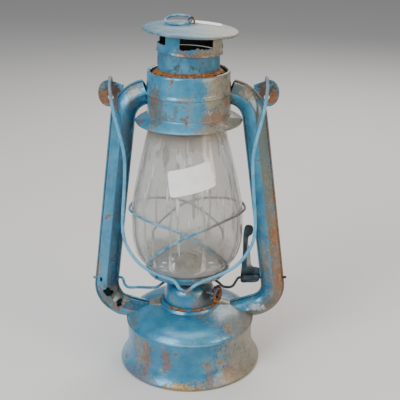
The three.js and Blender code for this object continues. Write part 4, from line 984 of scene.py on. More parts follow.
class LANTERN_OT_tubes(PieceOperator, bpy.types.Operator):
    """Build the four stampings of the two air tubes, in pairs with flanges along both edges"""

    bl_idname = "lantern.tubes"
    bl_label = "Air tubes"

    def execute(self, context):
        sizes, colours = self.sizes, self.colours
        arch = [(0.96, 0.34), (0.88, 0.52), (0.7, 0.68), (0.45, 0.82), (0.2, 0.94), (0.06, 0.995), (0, 1.0)]
        inner_arch = [(-a, d) for a, d in arch[:-1]]
        section = [(0.85, -10.45), (0.85, -8.75)]
        section += [(9 * d, 8.75 * a) for a, d in inner_arch] + [(9 * d, 8.75 * a) for a, d in arch[::-1]]
        section += [(0.85, 8.75), (0.85, 10.45)]
        frames = tube_frames()
        shoulder_foot, mouth_reach, mouth_face = 0.236, 34.6 * MM, 35.1 * MM
        orange, sand, dark = colours.rust, colours.sand, colours.soot
        paints = {
            "left": worn_paint(
                "left tube paint",
                colours,
                (60, 90),
                0.03,
                0.15,
                0.21,
                (
                    ((-70, -6, 62), 15, colours.patina, 0.75, ROUND),
                    ((-66, -8, 55), 7, orange, 0.6, ROUND),
                    ((-77, -2, 92), 5, sand, 0.7, TALL),
                    ((-84, 0, 84), 6, orange, 0.7, ROUND),
                    ((-46, -7, 250), 7, sand, 0.7, ROUND),
                    ((-62, -2, 236), 9, orange, 0.5, ROUND),
                    ((-56, -7, 62), 6, sand, 0.5, ROUND),
                ),
                # Painted shade: the dark navy band darkens the inner facet, which faces away from the key
                # light, and the two soot-dark bands darken the seam creases beside the flanges.
                ((-8.9, -0.2, (0.018, 0.065, 0.11), 0.8), (-9.4, -8.7, dark, 0.9), (8.7, 9.4, dark, 0.9)),
            ),
            "right": worn_paint(
                "right tube paint",
                colours,
                (71, 86),
                0.03,
                0.1,
                0.45,
                (
                    ((73, -6, 120), 5, orange, 0.95, TALL),
                    ((72, -6, 107), 2.5, orange, 0.9, ROUND),
                    ((79, -5, 80), 5, orange, 0.9, TALL),
                    ((81, -2, 140), 14, sand, 0.5, (1, 1, 0.15)),
                    ((78, -2, 100), 14, orange, 0.35, (1, 1, 0.15)),
                    ((70, -8, 55), 9, colours.patina, 0.7, ROUND),
                    ((60, -8, 52), 4, colours.paper, 0.5, WIDE),
                    ((70, -2, 86), 7, sand, 0.7, TALL),
                    ((50, -7, 252), 9, sand, 0.7, ROUND),
                ),
                (
                    # Painted shade: the grey-khaki band is the khaki stain darkened on the outer facet, which
                    # faces away from the key light, and the two soot-dark bands darken the seam creases
                    # beside the flanges; the sand-brown band is rust on the outer flange.
                    (0.3, 8.7, (0.10, 0.11, 0.085), 0.85),
                    (9.4, 11, (0.26, 0.15, 0.08), 0.9),
                    (-9.4, -8.7, dark, 0.9),
                    (8.7, 9.4, dark, 0.9),
                ),
            ),
        }
        for side, sign in (("left", -1), ("right", 1)):
            for half, depth in (("front", 1), ("back", -1)):
                bm = bmesh.new()
                verts = [bm.verts.new((x * depth, y, 0)) for x, y in section]
                edges = [bm.edges.new(pair) for pair in zip(verts, verts[1:])]
                sweep(bm, verts, edges, frames, caps=False)
                for vert in bm.verts:
                    if vert.co.z > shoulder_foot and vert.co.x < mouth_reach:
                        vert.co.x = (mouth_face**2 - vert.co.y**2) ** 0.5
                mark_across(bm, frames)
                bmesh.ops.scale(bm, vec=(sign, 1, 1), verts=bm.verts)
                self.wear_stamping(bm, side, half)
                piece = finish_piece(
                    f"{side}_tube_{half}", bm, paints[side], "frame", [f"tube_{side}_{half}"], crease=26
                )
                face_outwards(piece, Vector((0, -depth, 0)))
                thicken(piece, sizes.sheet)
        return {"FINISHED"}

    def wear_stamping(self, bm, side, half):
        """Dents each stamping a little, and eats through the worst places."""
        for vert in bm.verts:
            vert.co += Vector((0, 1, 0)) * 0.0003 * noise.noise(vert.co / (13 * MM))
        if side == "left" and half == "front":
            crush(bm, (-71, -7, 60), 19, (2.2, 3.4, 0.6), 6)
            eat_holes(bm, [((-72.5, -8, 66), 4.6), ((-63, -8, 57), 3.2), ((-77, -5, 80), 2.2)])
        if side == "right" and half == "front":
            eat_holes(bm, [((74, -6, 112), 1.5), ((70.5, -5, 108), 1.1)])


class LANTERN_OT_ears(PieceOperator, bpy.types.Operator):
    """Build the two plates that carry the bail"""

    bl_idname = "lantern.ears"
    bl_label = "Bail ears"

    def execute(self, context):
        colours = self.colours
        outline = [(54, 249), (53, 253.4), (58, 255.2), (62, 256.6)]
        for i in range(25):
            turn = math.pi / 2 - math.pi * i / 24
            outline.append((66 + 8.6 * math.cos(turn), 246.5 + 11.2 * math.sin(turn)))
        outline += [(60, 235.5), (56.4, 241)]
        hole = Vector((64.2, 243))
        for side, sign in (("left", -1), ("right", 1)):
            bm = bmesh.new()
            front = -0.7
            rim = [bm.verts.new(Vector((x * sign, front, z)) * MM) for x, z in outline]
            eyelet = []
            for x, z in outline:
                away = (Vector((x, z)) - hole).normalized() * 2.4
                eyelet.append(bm.verts.new(Vector(((hole.x + away.x) * sign, front, hole.y + away.y)) * MM))
            edges = [bm.edges.new(pair) for ring in (rim, eyelet) for pair in zip(ring, ring[1:] + ring[:1])]
            faces = bmesh.ops.bridge_loops(bm, edges=edges)["faces"]
            grown = bmesh.ops.extrude_face_region(bm, geom=faces)["geom"]
            moved = only(grown, bmesh.types.BMVert)
            bmesh.ops.translate(bm, vec=(0, 1.4 * MM, 0), verts=moved)
            marks = (
                ((66 * sign, -1, 246), 11, colours.patina, 0.9, ROUND),
                ((63 * sign, -1, 250), 8, colours.old_rust, 0.8, ROUND),
                ((71 * sign, -1, 241), 7, colours.rust, 0.8, ROUND),
            )
            paint = worn_paint(side + " ear paint", colours, (90, 99), 0.0, 0.5, 0.3 * sign, marks)
            ear = finish_piece(side + "_ear", bm, paint, "frame", ["ear_" + side])
            rounded = ear.modifiers.new("Rounded edge", "BEVEL")
            rounded.width = 0.25 * MM
            rounded.segments = 2
        return {"FINISHED"}


# ---- Hood and crown -------------------------------------------------------------------------
TUBE_HEIGHT = 248.3


def open_port(bm, side):
    """Cuts the round port through which a tube enters the hood, on the +X or -X side."""
    centre = Vector((34.9 * side, 0, TUBE_HEIGHT)) * MM
    lost = [f for f in bm.faces if (f.calc_center_median() - centre).length < 6.4 * MM]
    bmesh.ops.delete(bm, geom=lost, context="FACES")


class LANTERN_OT_hood(PieceOperator, bpy.types.Operator):
    """Build the hood with its flared flange, and the vented recess in its top"""

    bl_idname = "lantern.hood"
    bl_label = "Hood"

    def execute(self, context):
        sizes, colours = self.sizes, self.colours
        flange = [(44.5, 223.6), (44.7, 224.2)] + bend((43.6, 225.1), (38, 228.4), (35.3, 229.6), 10)
        neck = bend((35.0, 229.8), (34.4, 230.3), (34.6, 231.4), 4)
        wall = [(34.6 + 0.3 * i / 16, 231.4 + 15.2 * i / 16) for i in range(1, 17)]
        bead = bend((35.3, 247.4), (36.3, 248.6), (35.3, 249.8), 8)
        upper = [(34.9 - 0.6 * i / 14, 250.6 + 12.4 * i / 14) for i in range(15)]
        roll = bend((34.2, 263.8), (34.1, 266.6), (32.3, 266.2), 8) + [(31.5, 265.4), (31.4, 263.8)]
        bm = bmesh.new()
        spin_line(bm, flange + neck + wall + bead + upper + roll, 2 * sizes.sides)
        open_port(bm, 1)
        open_port(bm, -1)
        nail = Vector((34.8 * math.cos(math.radians(-60)), 34.8 * math.sin(math.radians(-60)), 239)) * MM
        for _ in range(2):
            near = [f for f in bm.faces if (f.calc_center_median() - nail).length < 3 * MM]
            edges = list({e for f in near for e in f.edges})
            bmesh.ops.subdivide_edges(bm, edges=edges, cuts=1, use_grid_fill=True)
        lost = [f for f in bm.faces if (f.calc_center_median() - nail).length < 0.75 * MM]
        bmesh.ops.delete(bm, geom=lost, context="FACES")
        bmesh.ops.recalc_face_normals(bm, faces=bm.faces)
        beat(bm, sizes.dents, 11, 6)
        orange, sand, khaki = colours.rust, colours.sand, colours.patina
        marks = (
            ((-27, -22, 240), 12, khaki, 0.75, (1, 1, 0.6)),
            ((-31, -18, 234), 6, sand, 0.6, ROUND),
            ((-28, -20, 246), 4, orange, 0.6, (1, 1, 0.7)),
            ((-10, -34, 241), 2, khaki, 0.6, TALL),
            ((-2, -35, 249), 3, sand, 0.6, WIDE),
            ((-41, -14, 225), 6, orange, 0.7, ROUND),
            ((-30, -32, 225), 5, sand, 0.5, ROUND),
            ((17.4, -30, 237.8), 2.0, colours.paper, 0.5, ROUND),
            ((22, -26, 232), 6, orange, 0.5, WIDE),
            ((30, -17, 244), 5, orange, 0.55, ROUND),
            ((13, -43, 225), 9, sand, 0.6, (1, 1, 3)),
        )
        paint = worn_paint("hood paint", colours, (6, 19), 0.05, 0.0, 1.7, marks)
        hood = finish_piece("hood_shell", bm, paint, "frame", ["hood"])
        face_outwards(hood, Vector((0, 0, 0.2)))
        turn_outwards(hood)
        thicken(hood, sizes.sheet, lining=soot_lining("hood soot", colours))

        bm = bmesh.new()
        perforated_ring(bm, 25.9, 33.3, 0, 18, 2.0, 29.6, 12)
        for vert in bm.verts:
            inwards = 33.3 - math.hypot(vert.co.x, vert.co.y) / MM
            vert.co.z = (261.4 + 5.6 * inwards / 7.4) * MM
        spin_line(bm, [(25.9, 267), (26, 267.5), (25.9, 268)], 18 * 12)
        floor_rust = rusted("recess rust", colours, 0.7, 0.0)
        recess = finish_piece("hood_recess", bm, floor_rust, "frame", ["hood_top"])
        face_outwards(recess, Vector((0, 0, 1)))
        thicken(recess, sizes.sheet)
        return {"FINISHED"}


def turn_outwards(piece):
    """Turns a round shell's faces away from the lantern's axis."""
    bm = bmesh.new()
    bm.from_mesh(piece.data)
    outward = 0
    for face in bm.faces:
        centre = face.calc_center_median()
        outward += face.normal.dot(Vector((centre.x, centre.y, 0)).normalized()) * face.calc_area()
    if outward < 0:
        bmesh.ops.reverse_faces(bm, faces=bm.faces)
    bm.to_mesh(piece.data)
    bm.free()


CROWN_SEAT = shifted(0.9, 0, 281.6) @ turned(3.4, "Y")


def wrapped_label(outline_size, corner, columns, rows):
    """A rounded label laid flat, as rows of (across, up) in millimetres from its middle."""
    width, height = outline_size
    grid = []
    for j in range(rows + 1):
        up = height * (j / rows - 0.5)
        inset = max(0, corner - (height / 2 - abs(up)))
        half = width / 2 - corner + (corner**2 - inset**2) ** 0.5
        grid.append([(half * (2 * i / columns - 1), up) for i in range(columns + 1)])
    return grid


def skin_grid(bm, rows):
    """Faces between rows of points."""
    verts = [[bm.verts.new(point) for point in row] for row in rows]
    for low, high in zip(verts, verts[1:]):
        for a, b, c, d in zip(low, low[1:], high[1:], high):
            bm.faces.new((a, b, c, d))


class LANTERN_OT_crown(PieceOperator, bpy.types.Operator):
    """Build the chimney neck and the tilted crown: windowed collar, domed cap, staple and lift ring"""

    bl_idname = "lantern.crown"
    bl_label = "Chimney and crown"

    def execute(self, context):
        sizes, colours = self.sizes, self.colours
        sheet = sizes.sheet / MM
        bm = bmesh.new()
        skirt = [(27.4, 217.1), (28.1, 217.1), (28.1, 222.1), (33, 222.1), (33, 222.8), (27.2, 224.2)]
        shaft = [(25.4, 226.7)] + [(25.4 + 0.08 * math.sin(i), 230 + 3 * i) for i in range(18)]
        top = [(25.4, 283.2), (24.7, 283.2)]
        inside = [(24.7, 283.2 - 9.4 * i) for i in range(1, 6)] + [(24.7, 226.5), (27.4, 222.1)]
        spin_line(bm, skirt + shaft + top + inside, sizes.sides, closed=True)
        seat = CROWN_SEAT @ Vector((0, 0, -0.4 * MM))
        bmesh.ops.bisect_plane(
            bm,
            geom=bm.verts[:] + bm.edges[:] + bm.faces[:],
            plane_co=seat,
            plane_no=CROWN_SEAT.to_3x3() @ Vector((0, 0, 1)),
            clear_outer=True,
        )
        rims = [e for e in bm.edges if e.is_boundary]
        bmesh.ops.bridge_loops(bm, edges=rims)
        beat(bm, 0.5 * sizes.dents, 9, 7)
        chimney = finish_piece("chimney_neck", bm, self.scuffed(colours), "crown", ["chimney"])
        line_inside(chimney, soot_lining("chimney soot", colours))

        self.collar(sizes, colours)
        bm = bmesh.new()
        crest = 17.3 + 3.8 + sheet
        profile = [(38.5 * i / 30, crest - 3.8 * (i / 30) ** 2) for i in range(30)]
        edge = [(38.4, crest - 3.9), (38.75, crest - 4.2), (38.75, 16.3)]
        edge += [(38.3, 16.0), (38.1, 16.4), (38.1, 17.1)]
        under = [(38 * i / 20, 17.3 + 3.8 * (1 - (i / 20) ** 2)) for i in range(19, -1, -1)]
        spin_line(bm, profile + edge + under, 2 * sizes.sides)
        beat(bm, sizes.dents, 16, 8)
        for vert in bm.verts:
            out = math.hypot(vert.co.x, vert.co.y) / MM
            emblem = math.exp(-(((out - 24) / 1.0) ** 2)) + 0.6 * math.exp(-(((out - 31) / 1.4) ** 2))
            vert.co.z += (0.22 * emblem + 0.35 * noise.noise(vert.co / (18 * MM))) * MM
        rusty_edge = faded_paint("cap paint", colours, 0.3, (-4, 30))
        cap = finish_piece("cap_disc", bm, rusty_edge, "crown", ["crown_cap"], place=CROWN_SEAT)
        line_inside(cap, soot_lining("cap soot", colours))

        bm = bmesh.new()
        loop = [(-2.4, 0), (-2.4, 2), (-1.4, 4.2), (0, 4.9), (1.4, 4.2), (2.4, 2), (2.4, 0)]
        add_wire(bm, [(x, 0, 22.1 + z) for x, z in loop], 0.0008, 0.6, 12, 0.1)
        add_plate(bm, [(-4.4, 21.5), (4.4, 21.5), (4.5, 22.1), (4.2, 22.3), (-4.2, 22.3), (-4.5, 22.1)], 4, 0)
        wire = rusted("staple rust", colours, 0.45, 0.7)
        finish_piece("staple_loop", bm, wire, "crown", ["ring_staple"], place=CROWN_SEAT)

        bm = bmesh.new()
        turns = [2 * math.pi * i / 72 for i in range(72)]
        route = [Vector((10.6 * math.cos(t), 10.6 * math.sin(t), 0)) * MM for t in turns]
        add_loop(bm, route, 0.001)
        ring_seat = CROWN_SEAT @ shifted(0, 0, 25.2)
        ring_seat = ring_seat @ turned(11, "X") @ turned(-5, "Y")
        ring_seat = ring_seat @ shifted(-10.6, 0, 0)
        ring = guard_paint("lift ring paint", colours)
        finish_piece("ring_loop", bm, ring, "lift_ring", ["lift_ring"], place=ring_seat)

        bm = bmesh.new()
        rows = []
        for row in wrapped_label((24, 19), 2.2, 12, 12):
            rows.append([self.on_cap(13 + across, 11.5 + up) for across, up in row])
        skin_grid(bm, rows)
        paper = blank_paper("cap label", colours)
        label = finish_piece("cap_sticker", bm, paper, "crown", ["cap_label"], place=CROWN_SEAT)
        face_outwards(label, Vector((0, 0, 1)))
        thicken(label, 0.25 * MM, 1)
        return {"FINISHED"}

    def on_cap(self, x, y):
        crest = 17.3 + 3.8 + 0.7
        return Vector((x, y, crest + 0.32 - 3.8 * ((x * x + y * y) ** 0.5 / 38.4) ** 2)) * MM

    def scuffed(self, colours):
        b = Bench("chimney paint")
        broad = b.noise(40, 4.0, 0.6)
        middle = b.noise(150, 5.0, 0.7, distortion=0.6)
        fine = b.noise(520, 4.0, 0.7)
        blue = b.mix(b.between(broad, 0.38, 0.62), (0.022, 0.12, 0.20), (0.07, 0.25, 0.36))
        scuff = b.between(middle * 0.7 + fine * 0.3, 0.53, 0.6)
        colour = b.mix(scuff * 0.85, blue, (0.022, 0.032, 0.04))
        sand = b.between(middle * 0.5 + broad * 0.5 + b.axis("X") * 0.004, 0.58, 0.66)
        colour = b.mix(sand * 0.9, colour, colours.patina)
        rust = b.between(fine * 0.5 + middle * 0.5 - b.axis("Z") * 0.0006, 0.46, 0.54)
        colour = b.mix(rust * 0.9, colour, b.mix(b.between(fine, 0.4, 0.6), colours.old_rust, colours.rust))
        return b.close(colour, fine * 0.3 + 0.36, 0.1, b.bump(fine * 0.6 + middle * 0.6, 0.6, 0.0005))

    def collar(self, sizes, colours):
        """The crown's foot and the strip between its four windows, torn along their lower edges."""
        height, windows, width = 17.0, 4, 28.0
        sill, lintel, facing = 6.6, 15.8, math.radians(-90 + 12)
        columns, rows = 288, 40
        bm = bmesh.new()
        ring_rows = []
        for j in range(rows + 1):
            up = height * j / rows
            radius = 26.7 + (0.5 * max(0, 1 - up / 1.6))
            row = []
            for i in range(columns):
                turn = 2 * math.pi * i / columns
                dent = 0.3 * noise.noise(Vector((3 * math.cos(turn), 3 * math.sin(turn), up / 6)))
                away = radius + dent
                row.append(bm.verts.new(Vector((away * math.cos(turn), away * math.sin(turn), up)) * MM))
            ring_rows.append(row)
        for j, (low, high) in enumerate(zip(ring_rows, ring_rows[1:])):
            up = height * (j + 0.5) / rows
            for i in range(columns):
                turn = 2 * math.pi * (i + 0.5) / columns
                nearest = round((turn - facing) / (2 * math.pi / windows))
                across = (turn - facing - nearest * 2 * math.pi / windows) * 26.7
                tear = 1.5 * noise.noise(Vector((turn * 9, 0, 5)))
                tear += 0.5 * noise.noise(Vector((turn * 40, 0, 9)))
                torn_sill = sill + tear - 1.5 * max(0, min(1, (-across - 2) / 5))
                if abs(across) < width / 2 and torn_sill < up < lintel:
                    continue
                k = (i + 1) % columns
                bm.faces.new((low[i], low[k], high[k], high[i]))
        loose = [v for v in bm.verts if not v.link_faces]
        bmesh.ops.delete(bm, geom=loose, context="VERTS")
        rim = [v for v in bm.verts if v.is_boundary and 2 * MM < v.co.z < 16.5 * MM]
        soften(bm, rim)
        marks = (
            ((-4, -26, 287), 6, colours.patina, 0.5, ROUND),
            ((10, -25, 286), 7, colours.patina, 0.6, ROUND),
            ((-8, -26, 282), 8, colours.rust, 0.75, (0.6, 1, 3)),
            ((8, -26, 281), 9, colours.rust, 0.75, (0.6, 1, 3)),
        )
        paint = worn_paint("collar paint", colours, (-2, 20), 0.02, 0.15, 2.1, marks)
        collar = finish_piece("windowed_collar", bm, paint, "crown", ["crown_collar"], place=CROWN_SEAT)
        turn_outwards(collar)
        thicken(collar, sizes.sheet, lining=soot_lining("collar soot", colours))


def add_loop(bm, route, radius, sides=12):
    """Round wire along a closed flat route of points in metres."""
    across = Vector((0, 0, 1))
    rings = []
    for i, point in enumerate(route):
        along = (route[(i + 1) % len(route)] - route[i - 1]).normalized()
        out = across.cross(along).normalized()
        ring = []
        for k in range(sides):
            turn = 2 * math.pi * k / sides
            ring.append(bm.verts.new(point + (across * math.sin(turn) + out * math.cos(turn)) * radius))
        rings.append(ring)
    for a, b in zip(rings, rings[1:] + rings[:1]):
        for k in range(sides):
            m = (k + 1) % sides
            bm.faces.new((a[k], a[m], b[m], b[k]))


# ---- Globe and its carrier ------------------------------------------------------------------
CARRIER = Matrix.Translation((-1.8 * MM, 0, 0))
GLOBE_LINE = [
    (32.4, 88.4), (33.6, 90.8), (35.4, 94.3), (39.4, 98.4), (44.4, 105), (47.4, 117), (48.1, 132),
    (47.5, 149), (42.4, 176), (36.9, 199), (33.2, 214), (31.8, 221.8),
]  # fmt: skip


def polar(turn, radius, height):
    """A point at a turn in degrees clockwise from +X as seen from above."""
    angle = math.radians(turn)
    return Vector((radius * math.cos(angle), -radius * math.sin(angle), height))


class LANTERN_OT_globe(PieceOperator, bpy.types.Operator):
    """Build the glass globe with its label"""

    bl_idname = "lantern.globe"
    bl_label = "Globe"

    def execute(self, context):
        sizes, colours = self.sizes, self.colours
        bm = bmesh.new()
        line = [(p.x, p.z) for p in smooth_route([(r, 0, z) for r, z in GLOBE_LINE], 3)]
        wall = 1.6
        inner = offset(line, wall)
        lip_top = bend(line[-1], (31.2, 222.6), inner[-1], 5)[1:-1]
        lip_foot = bend(inner[0], (31.6, 87.9), line[0], 5)[1:-1]
        spin_line(bm, line + lip_top + inner[::-1] + lip_foot, sizes.sides, closed=True)
        glass = dusty_glass("dusty glass")
        finish_piece("glass", bm, glass, "globe_carrier", ["globe"], 80, CARRIER)

        bm = bmesh.new()
        profile = [Vector((r, z)) for r, z in line]
        rows = []
        tilt = Matrix.Rotation(math.radians(12), 2)
        for row in wrapped_label((38, 21), 1.6, 24, 14):
            points = []
            for across, up in row:
                place = tilt @ Vector((across, up))
                points.append(self.on_glass(profile, place.x, 184.5 + place.y))
            rows.append(points)
        skin_grid(bm, rows)
        paper = blank_paper("globe label", colours)
        label = finish_piece(
            "glass_sticker", bm, paper, "globe_carrier", ["glass_label"], place=CARRIER
        )
        face_outwards(label, Vector((0, -1, 0)))
        thicken(label, 0.22 * MM, 1)
        return {"FINISHED"}

    def on_glass(self, profile, across, height):
        radius = profile[-1].x
        for low, high in zip(profile, profile[1:]):
            if low.y <= height <= high.y:
                radius = low.x + (high.x - low.x) * (height - low.y) / (high.y - low.y)
        turn = math.radians(-84) + across / 41
        return Vector(((radius + 0.25) * math.cos(turn), (radius + 0.25) * math.sin(turn), height)) * MM


class LANTERN_OT_carrier(PieceOperator, bpy.types.Operator):
    """Build the vented plate under the globe and the two crossed guard wires"""

    bl_idname = "lantern.carrier"
    bl_label = "Plate and guards"

    def execute(self, context):
        sizes, colours = self.sizes, self.colours
        holes, arc = 14, 16
        bm = bmesh.new()
        perforated_ring(bm, 16.4, 33.6, 88.1, holes, 2.6, 23.6, arc)
        rim = bend((33.6, 88.1), (35.6, 88.2), (35.9, 89.9), 6)
        rim += [(36.2, 90.9), (36.6, 91.7), (36.75, 93), (36.6, 94.3)]
        spin_line(bm, rim, holes * arc)
        rust = worn_paint("plate paint", colours, (-8, 16), 0.0, 0.45, 0.9)
        plate = finish_piece("plate", bm, rust, "globe_carrier", ["globe_plate"], place=CARRIER)
        face_outwards(plate, Vector((0, 0, 1)))
        thicken(plate, sizes.sheet)

        bare = guard_paint("guard paint", colours)
        wires = (("first", "guard_wire_a", 1, 0.0), ("second", "guard_wire_b", -1, 2.8))
        for name, node, mirror, lift in wires:
            foot = [polar(45, 38, 90.3), polar(45, 40.6, 95.9)]
            rise = [polar(45, 46.8, 103.6), polar(49, 49.3, 110.6)]
            rise += [polar(58, 50.4, 118.4), polar(68, 50.6, 126)]
            cross = [polar(80, 50.4 + lift, 134.4), polar(92, 50.4 + lift, 141)]
            cross += [polar(105, 50.3 + lift, 145.2)]
            high = [polar(124, 50, 148), polar(145, 49.8, 149), polar(164, 49.8, 148)]
            front = foot + rise + cross + high
            back = [Vector((p.x, -p.y, p.z)) for p in front[::-1]]
            back = [p - Vector((0, 0, 10 * max(p.z - 94.3, 0) * p.y / 2500)) for p in back]
            points = front + [Vector((-49.8, 0, 145.4))] + back
            bm = bmesh.new()
            add_wire(bm, [Vector((p.x * mirror, p.y, p.z)) for p in points], sizes.guard_wire, 1.4, 12)
            finish_piece(name + "_guard", bm, bare, "globe_carrier", [node], place=CARRIER)
        return {"FINISHED"}


# ---- Lift and bail --------------------------------------------------------------------------
SHAFT_HEIGHT = 78.7


class LANTERN_OT_lift(PieceOperator, bpy.types.Operator):
    """Build the globe lift: cranked cross wire, hinge barrel and thumb plate"""

    bl_idname = "lantern.lift"
    bl_label = "Globe lift"

    def execute(self, context):
        sizes, colours = self.sizes, self.colours
        left = [(-85.6, 0, 0), (-64, 0, 0), (-60.4, -1, 0), (-56.4, -15, 0), (-53, -20, 0), (-44, -20, 0)]
        left += [(-29, -20, 0), (-25, -19, 2), (-19, -17, 6), (-13, -17, 6.5), (-8, -21, 3), (-4, -22, 1.4)]
        right = [(4, -22, 1.4), (8, -21, 3), (13, -17, 6.5), (20, -17, 6.5), (25, -18, 4), (29, -19.6, 0.8)]
        right += [(34, -20, 0), (37.4, -18, 0)]
        right += [(41, -8, 0), (43.6, -1.4, 0), (47, 0, 0), (52, 0, 0), (60, 0, 0), (85.6, 0, 0)]
        bm = bmesh.new()
        places = [(x, y, SHAFT_HEIGHT + rise) for x, y, rise in left + right]
        add_wire(bm, places, sizes.crank_wire, 1.2, 14)
        finish_piece("cross_wire", bm, self.wire_paint(colours), "lift", ["crank_wire"])

        outline = [
            (47.6, 72), (61.8, 74), (61.8, 86.6), (55.8, 88.6), (53.6, 103), (51.6, 112), (52.4, 117.4),
            (55, 119.4), (55.2, 127), (49.8, 128), (48, 124.4), (47.2, 117), (47.2, 103),
            (46.2, 88), (45.8, 73.2),
        ]  # fmt: skip
        rounded = [(p.x, p.z) for p in smooth_route([(x, 0, z) for x, z in outline + outline[:1]], 2)][:-1]
        bm = bmesh.new()
        add_plate(bm, rounded, 1.1, 2.3)
        front = [f for f in bm.faces if abs(f.normal.y) > 0.9]
        bmesh.ops.inset_region(bm, faces=front, thickness=0.7 * MM, depth=-0.18 * MM)
        blade = self.blade_paint(colours)
        plate = finish_piece("thumb_plate", bm, blade, "lift", ["lift_lever"], crease=50)
        edge = plate.modifiers.new("Rounded edge", "BEVEL")
        edge.width = 0.2 * MM
        edge.segments = 2

        bm = bmesh.new()
        tube = [(1.5, 0), (2.2, 0), (2.4, 0.2), (2.4, 13.8), (2.2, 14), (1.5, 14)]
        spin_line(bm, tube, 32, closed=True)
        lay = shifted(47.4, 0, SHAFT_HEIGHT) @ turned(90, "Y")
        finish_piece("hinge_barrel", bm, blade, "lift", ["lift_lever"], place=lay)
        return {"FINISHED"}

    def wire_paint(self, colours):
        b = Bench("cross wire paint")
        middle = b.noise(120, 5.0, 0.65)
        fine = b.noise(600, 4.0, 0.7)
        across = b.axis("X") + (middle - 0.5) * 12
        outer = b.between(across, -48, -58)
        blue = b.mix(b.between(middle, 0.4, 0.6), colours.paint, colours.paint_light)
        # Painted shade: the wire turns black from about x = -22 mm rightwards, where it runs into the shadow
        # under the plate, and stays black out to its right end.
        under_plate_shade = b.mix(b.between(fine, 0.45, 0.65), (0.012, 0.014, 0.016), (0.06, 0.045, 0.035))
        colour = b.mix(b.between(across, -30, -22), blue, under_plate_shade)
        colour = b.mix(outer, colour, blue)
        spots = b.between(middle * 0.5 + fine * 0.5, 0.57, 0.63)
        return b.close(b.mix(spots, colour, colours.rust), 0.55, 0.2, b.bump(fine, 0.5, 0.0003))

    def blade_paint(self, colours):
        b = Bench("thumb plate paint")
        middle = b.noise(140, 5.0, 0.65)
        fine = b.noise(600, 4.0, 0.7)
        colour = b.mix(b.between(middle, 0.4, 0.66), (0.014, 0.026, 0.036), (0.05, 0.11, 0.14))
        # Painted highlight and wear: a pale strip along the plate's right edge, where the edge catches the
        # light and is worn to bare metal.
        bright = b.between(b.axis("X") + (middle - 0.5) * 2, 50.4, 51.2) * b.between(b.axis("Z"), 116, 106)
        colour = b.mix(bright * b.between(b.axis("Z"), 86, 92) * 0.7, colour, (0.42, 0.47, 0.47))
        colour = b.mix(b.between(middle * 0.5 + fine * 0.5, 0.59, 0.64) * 0.8, colour, colours.rust)
        return b.close(colour, fine * 0.25 + 0.36, 0.2, b.bump(fine, 0.5, 0.0003))


class LANTERN_OT_bail(PieceOperator, bpy.types.Operator):
    """Build the bail: one wire from eye to eye, hanging down in front with a kink in the middle"""

    bl_idname = "lantern.bail"
    bl_label = "Bail"

    def execute(self, context):
        sizes, colours = self.sizes, self.colours
        pivot, eye, slope = 251.3, 8.3, 0.2
        curl_turns = (378, 364, 350, 332, 315, 292, 270, 247, 225, 202, 180, 160, 140, 122, 105)
        turns = [math.radians(t) for t in curl_turns]
        curl = [(64.2, -eye * math.sin(t), pivot - eye * math.cos(t)) for t in turns]
        run = [
            (61.8, 235.5), (58.8, 223), (55.3, 210), (53.1, 198), (52.9, 184), (53.8, 167), (54.9, 152),
            (55.2, 139), (53.3, 127), (48.4, 117.5), (42, 109.5), (33, 103), (23, 98.5), (12.6, 94.3),
        ]  # fmt: skip
        kink = [(4.6, 90.4), (-0.6, 86.4), (-3, 85.2), (-5.4, 86.2), (-8, 88)]
        flat_run = run + kink + [(-x, z) for x, z in run[::-1]]
        hanging = [(x, -eye - slope * (pivot - z), z) for x, z in flat_run]
        points = curl + hanging + [(-x, y, z) for x, y, z in curl[::-1]]
        bm = bmesh.new()
        add_wire(bm, points, sizes.bail_wire, 1.3, 16)
        finish_piece("bail_wire", bm, bright_wire_paint("bail paint", colours), "bail", ["bail"])
        return {"FINISHED"}


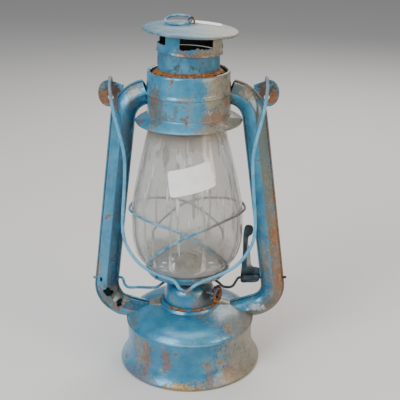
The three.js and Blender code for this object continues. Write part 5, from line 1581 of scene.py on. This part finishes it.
# ---- Stage ----------------------------------------------------------------------------------
class LANTERN_OT_stage(bpy.types.Operator):
    """Set up the floor, the studio lights and the camera"""

    bl_idname = "lantern.stage"
    bl_label = "Stage"
    bl_options = {"REGISTER", "UNDO"}

    def execute(self, context):
        settings = context.scene.lantern_stage
        link = context.scene.collection.objects.link

        bm = bmesh.new()
        bmesh.ops.create_grid(bm, x_segments=1, y_segments=1, size=3)
        mesh = bpy.data.meshes.new("floor")
        bm.to_mesh(mesh)
        bm.free()
        floor = bpy.data.objects.new("floor", mesh)
        b = Bench("floor")
        mesh.materials.append(b.close(tuple(settings.floor), 0.85))
        link(floor)

        self.area(link, "key light", (-0.75, -0.85, 0.85), 0.7, settings.key, (0.86, 0.94, 1.0))
        self.area(link, "fill light", (0.85, -0.55, 0.45), 0.5, settings.fill, (1.0, 0.86, 0.70))
        self.area(link, "rim light", (0.3, 0.9, 0.9), 0.7, 0.5 * settings.key, (1.0, 0.97, 0.94))
        self.area(link, "top light", (-0.1, -0.1, 1.3), 0.9, 0.5 * settings.key, (1.0, 1.0, 1.0))

        world = bpy.data.worlds.new("soft sky")
        world.use_nodes = True
        world.node_tree.nodes["Background"].inputs["Color"].default_value = (0.86, 0.89, 0.93, 1)
        world.node_tree.nodes["Background"].inputs["Strength"].default_value = 0.34
        context.scene.world = world

        camera = bpy.data.objects.new("camera", bpy.data.cameras.new("camera"))
        camera.data.lens = 78.3
        camera.location = (0.00925, -settings.camera_distance, settings.camera_height)
        camera.rotation_euler = (math.pi / 2 - settings.camera_tilt, 0, 0)
        link(camera)
        context.scene.camera = camera
        return {"FINISHED"}

    def area(self, link, name, place, size, power, colour):
        """A square soft light aimed at the middle of the lantern."""
        light = bpy.data.lights.new(name, "AREA")
        light.size = size
        light.energy = power
        light.color = colour
        lamp = bpy.data.objects.new(name, light)
        lamp.location = place
        lamp.rotation_euler = (Vector(place) - Vector((0, 0, 0.15))).to_track_quat("Z", "Y").to_euler()
        link(lamp)


# ---- Add-on ---------------------------------------------------------------------------------
PIECES = (
    LANTERN_OT_fount,
    LANTERN_OT_air_chamber,
    LANTERN_OT_burner,
    LANTERN_OT_filler,
    LANTERN_OT_tubes,
    LANTERN_OT_ears,
    LANTERN_OT_hood,
    LANTERN_OT_crown,
    LANTERN_OT_globe,
    LANTERN_OT_carrier,
    LANTERN_OT_lift,
    LANTERN_OT_bail,
    LANTERN_OT_stage,
)
GROUPS = (
    ("lantern_sizes", LanternSizes),
    ("lantern_colours", LanternColours),
    ("lantern_stage", StageSettings),
)


class LANTERN_PT_panel(bpy.types.Panel):
    """The lantern's sizes, colours and pieces"""

    bl_idname = "LANTERN_PT_panel"
    bl_label = "Hurricane lantern"
    bl_space_type = "VIEW_3D"
    bl_region_type = "UI"
    bl_category = SIDEBAR_TAB

    def draw(self, context):
        for name, group in GROUPS:
            box = self.layout.box()
            for setting in group.__annotations__:
                box.prop(getattr(context.scene, name), setting)
        for piece in PIECES:
            self.layout.operator(piece.bl_idname)


def register():
    for _, group in GROUPS:
        bpy.utils.register_class(group)
    for name, group in GROUPS:
        setattr(bpy.types.Scene, name, bpy.props.PointerProperty(type=group))
    for piece in PIECES:
        bpy.utils.register_class(piece)
    bpy.utils.register_class(LANTERN_PT_panel)


def unregister():
    bpy.utils.unregister_class(LANTERN_PT_panel)
    for piece in reversed(PIECES):
        bpy.utils.unregister_class(piece)
    for name, _ in GROUPS:
        delattr(bpy.types.Scene, name)
    for _, group in reversed(GROUPS):
        bpy.utils.unregister_class(group)


def main():
    register()
    for piece in PIECES:
        family, action = piece.bl_idname.split(".")
        getattr(getattr(bpy.ops, family), action)()


if __name__ == "__main__":
    main()
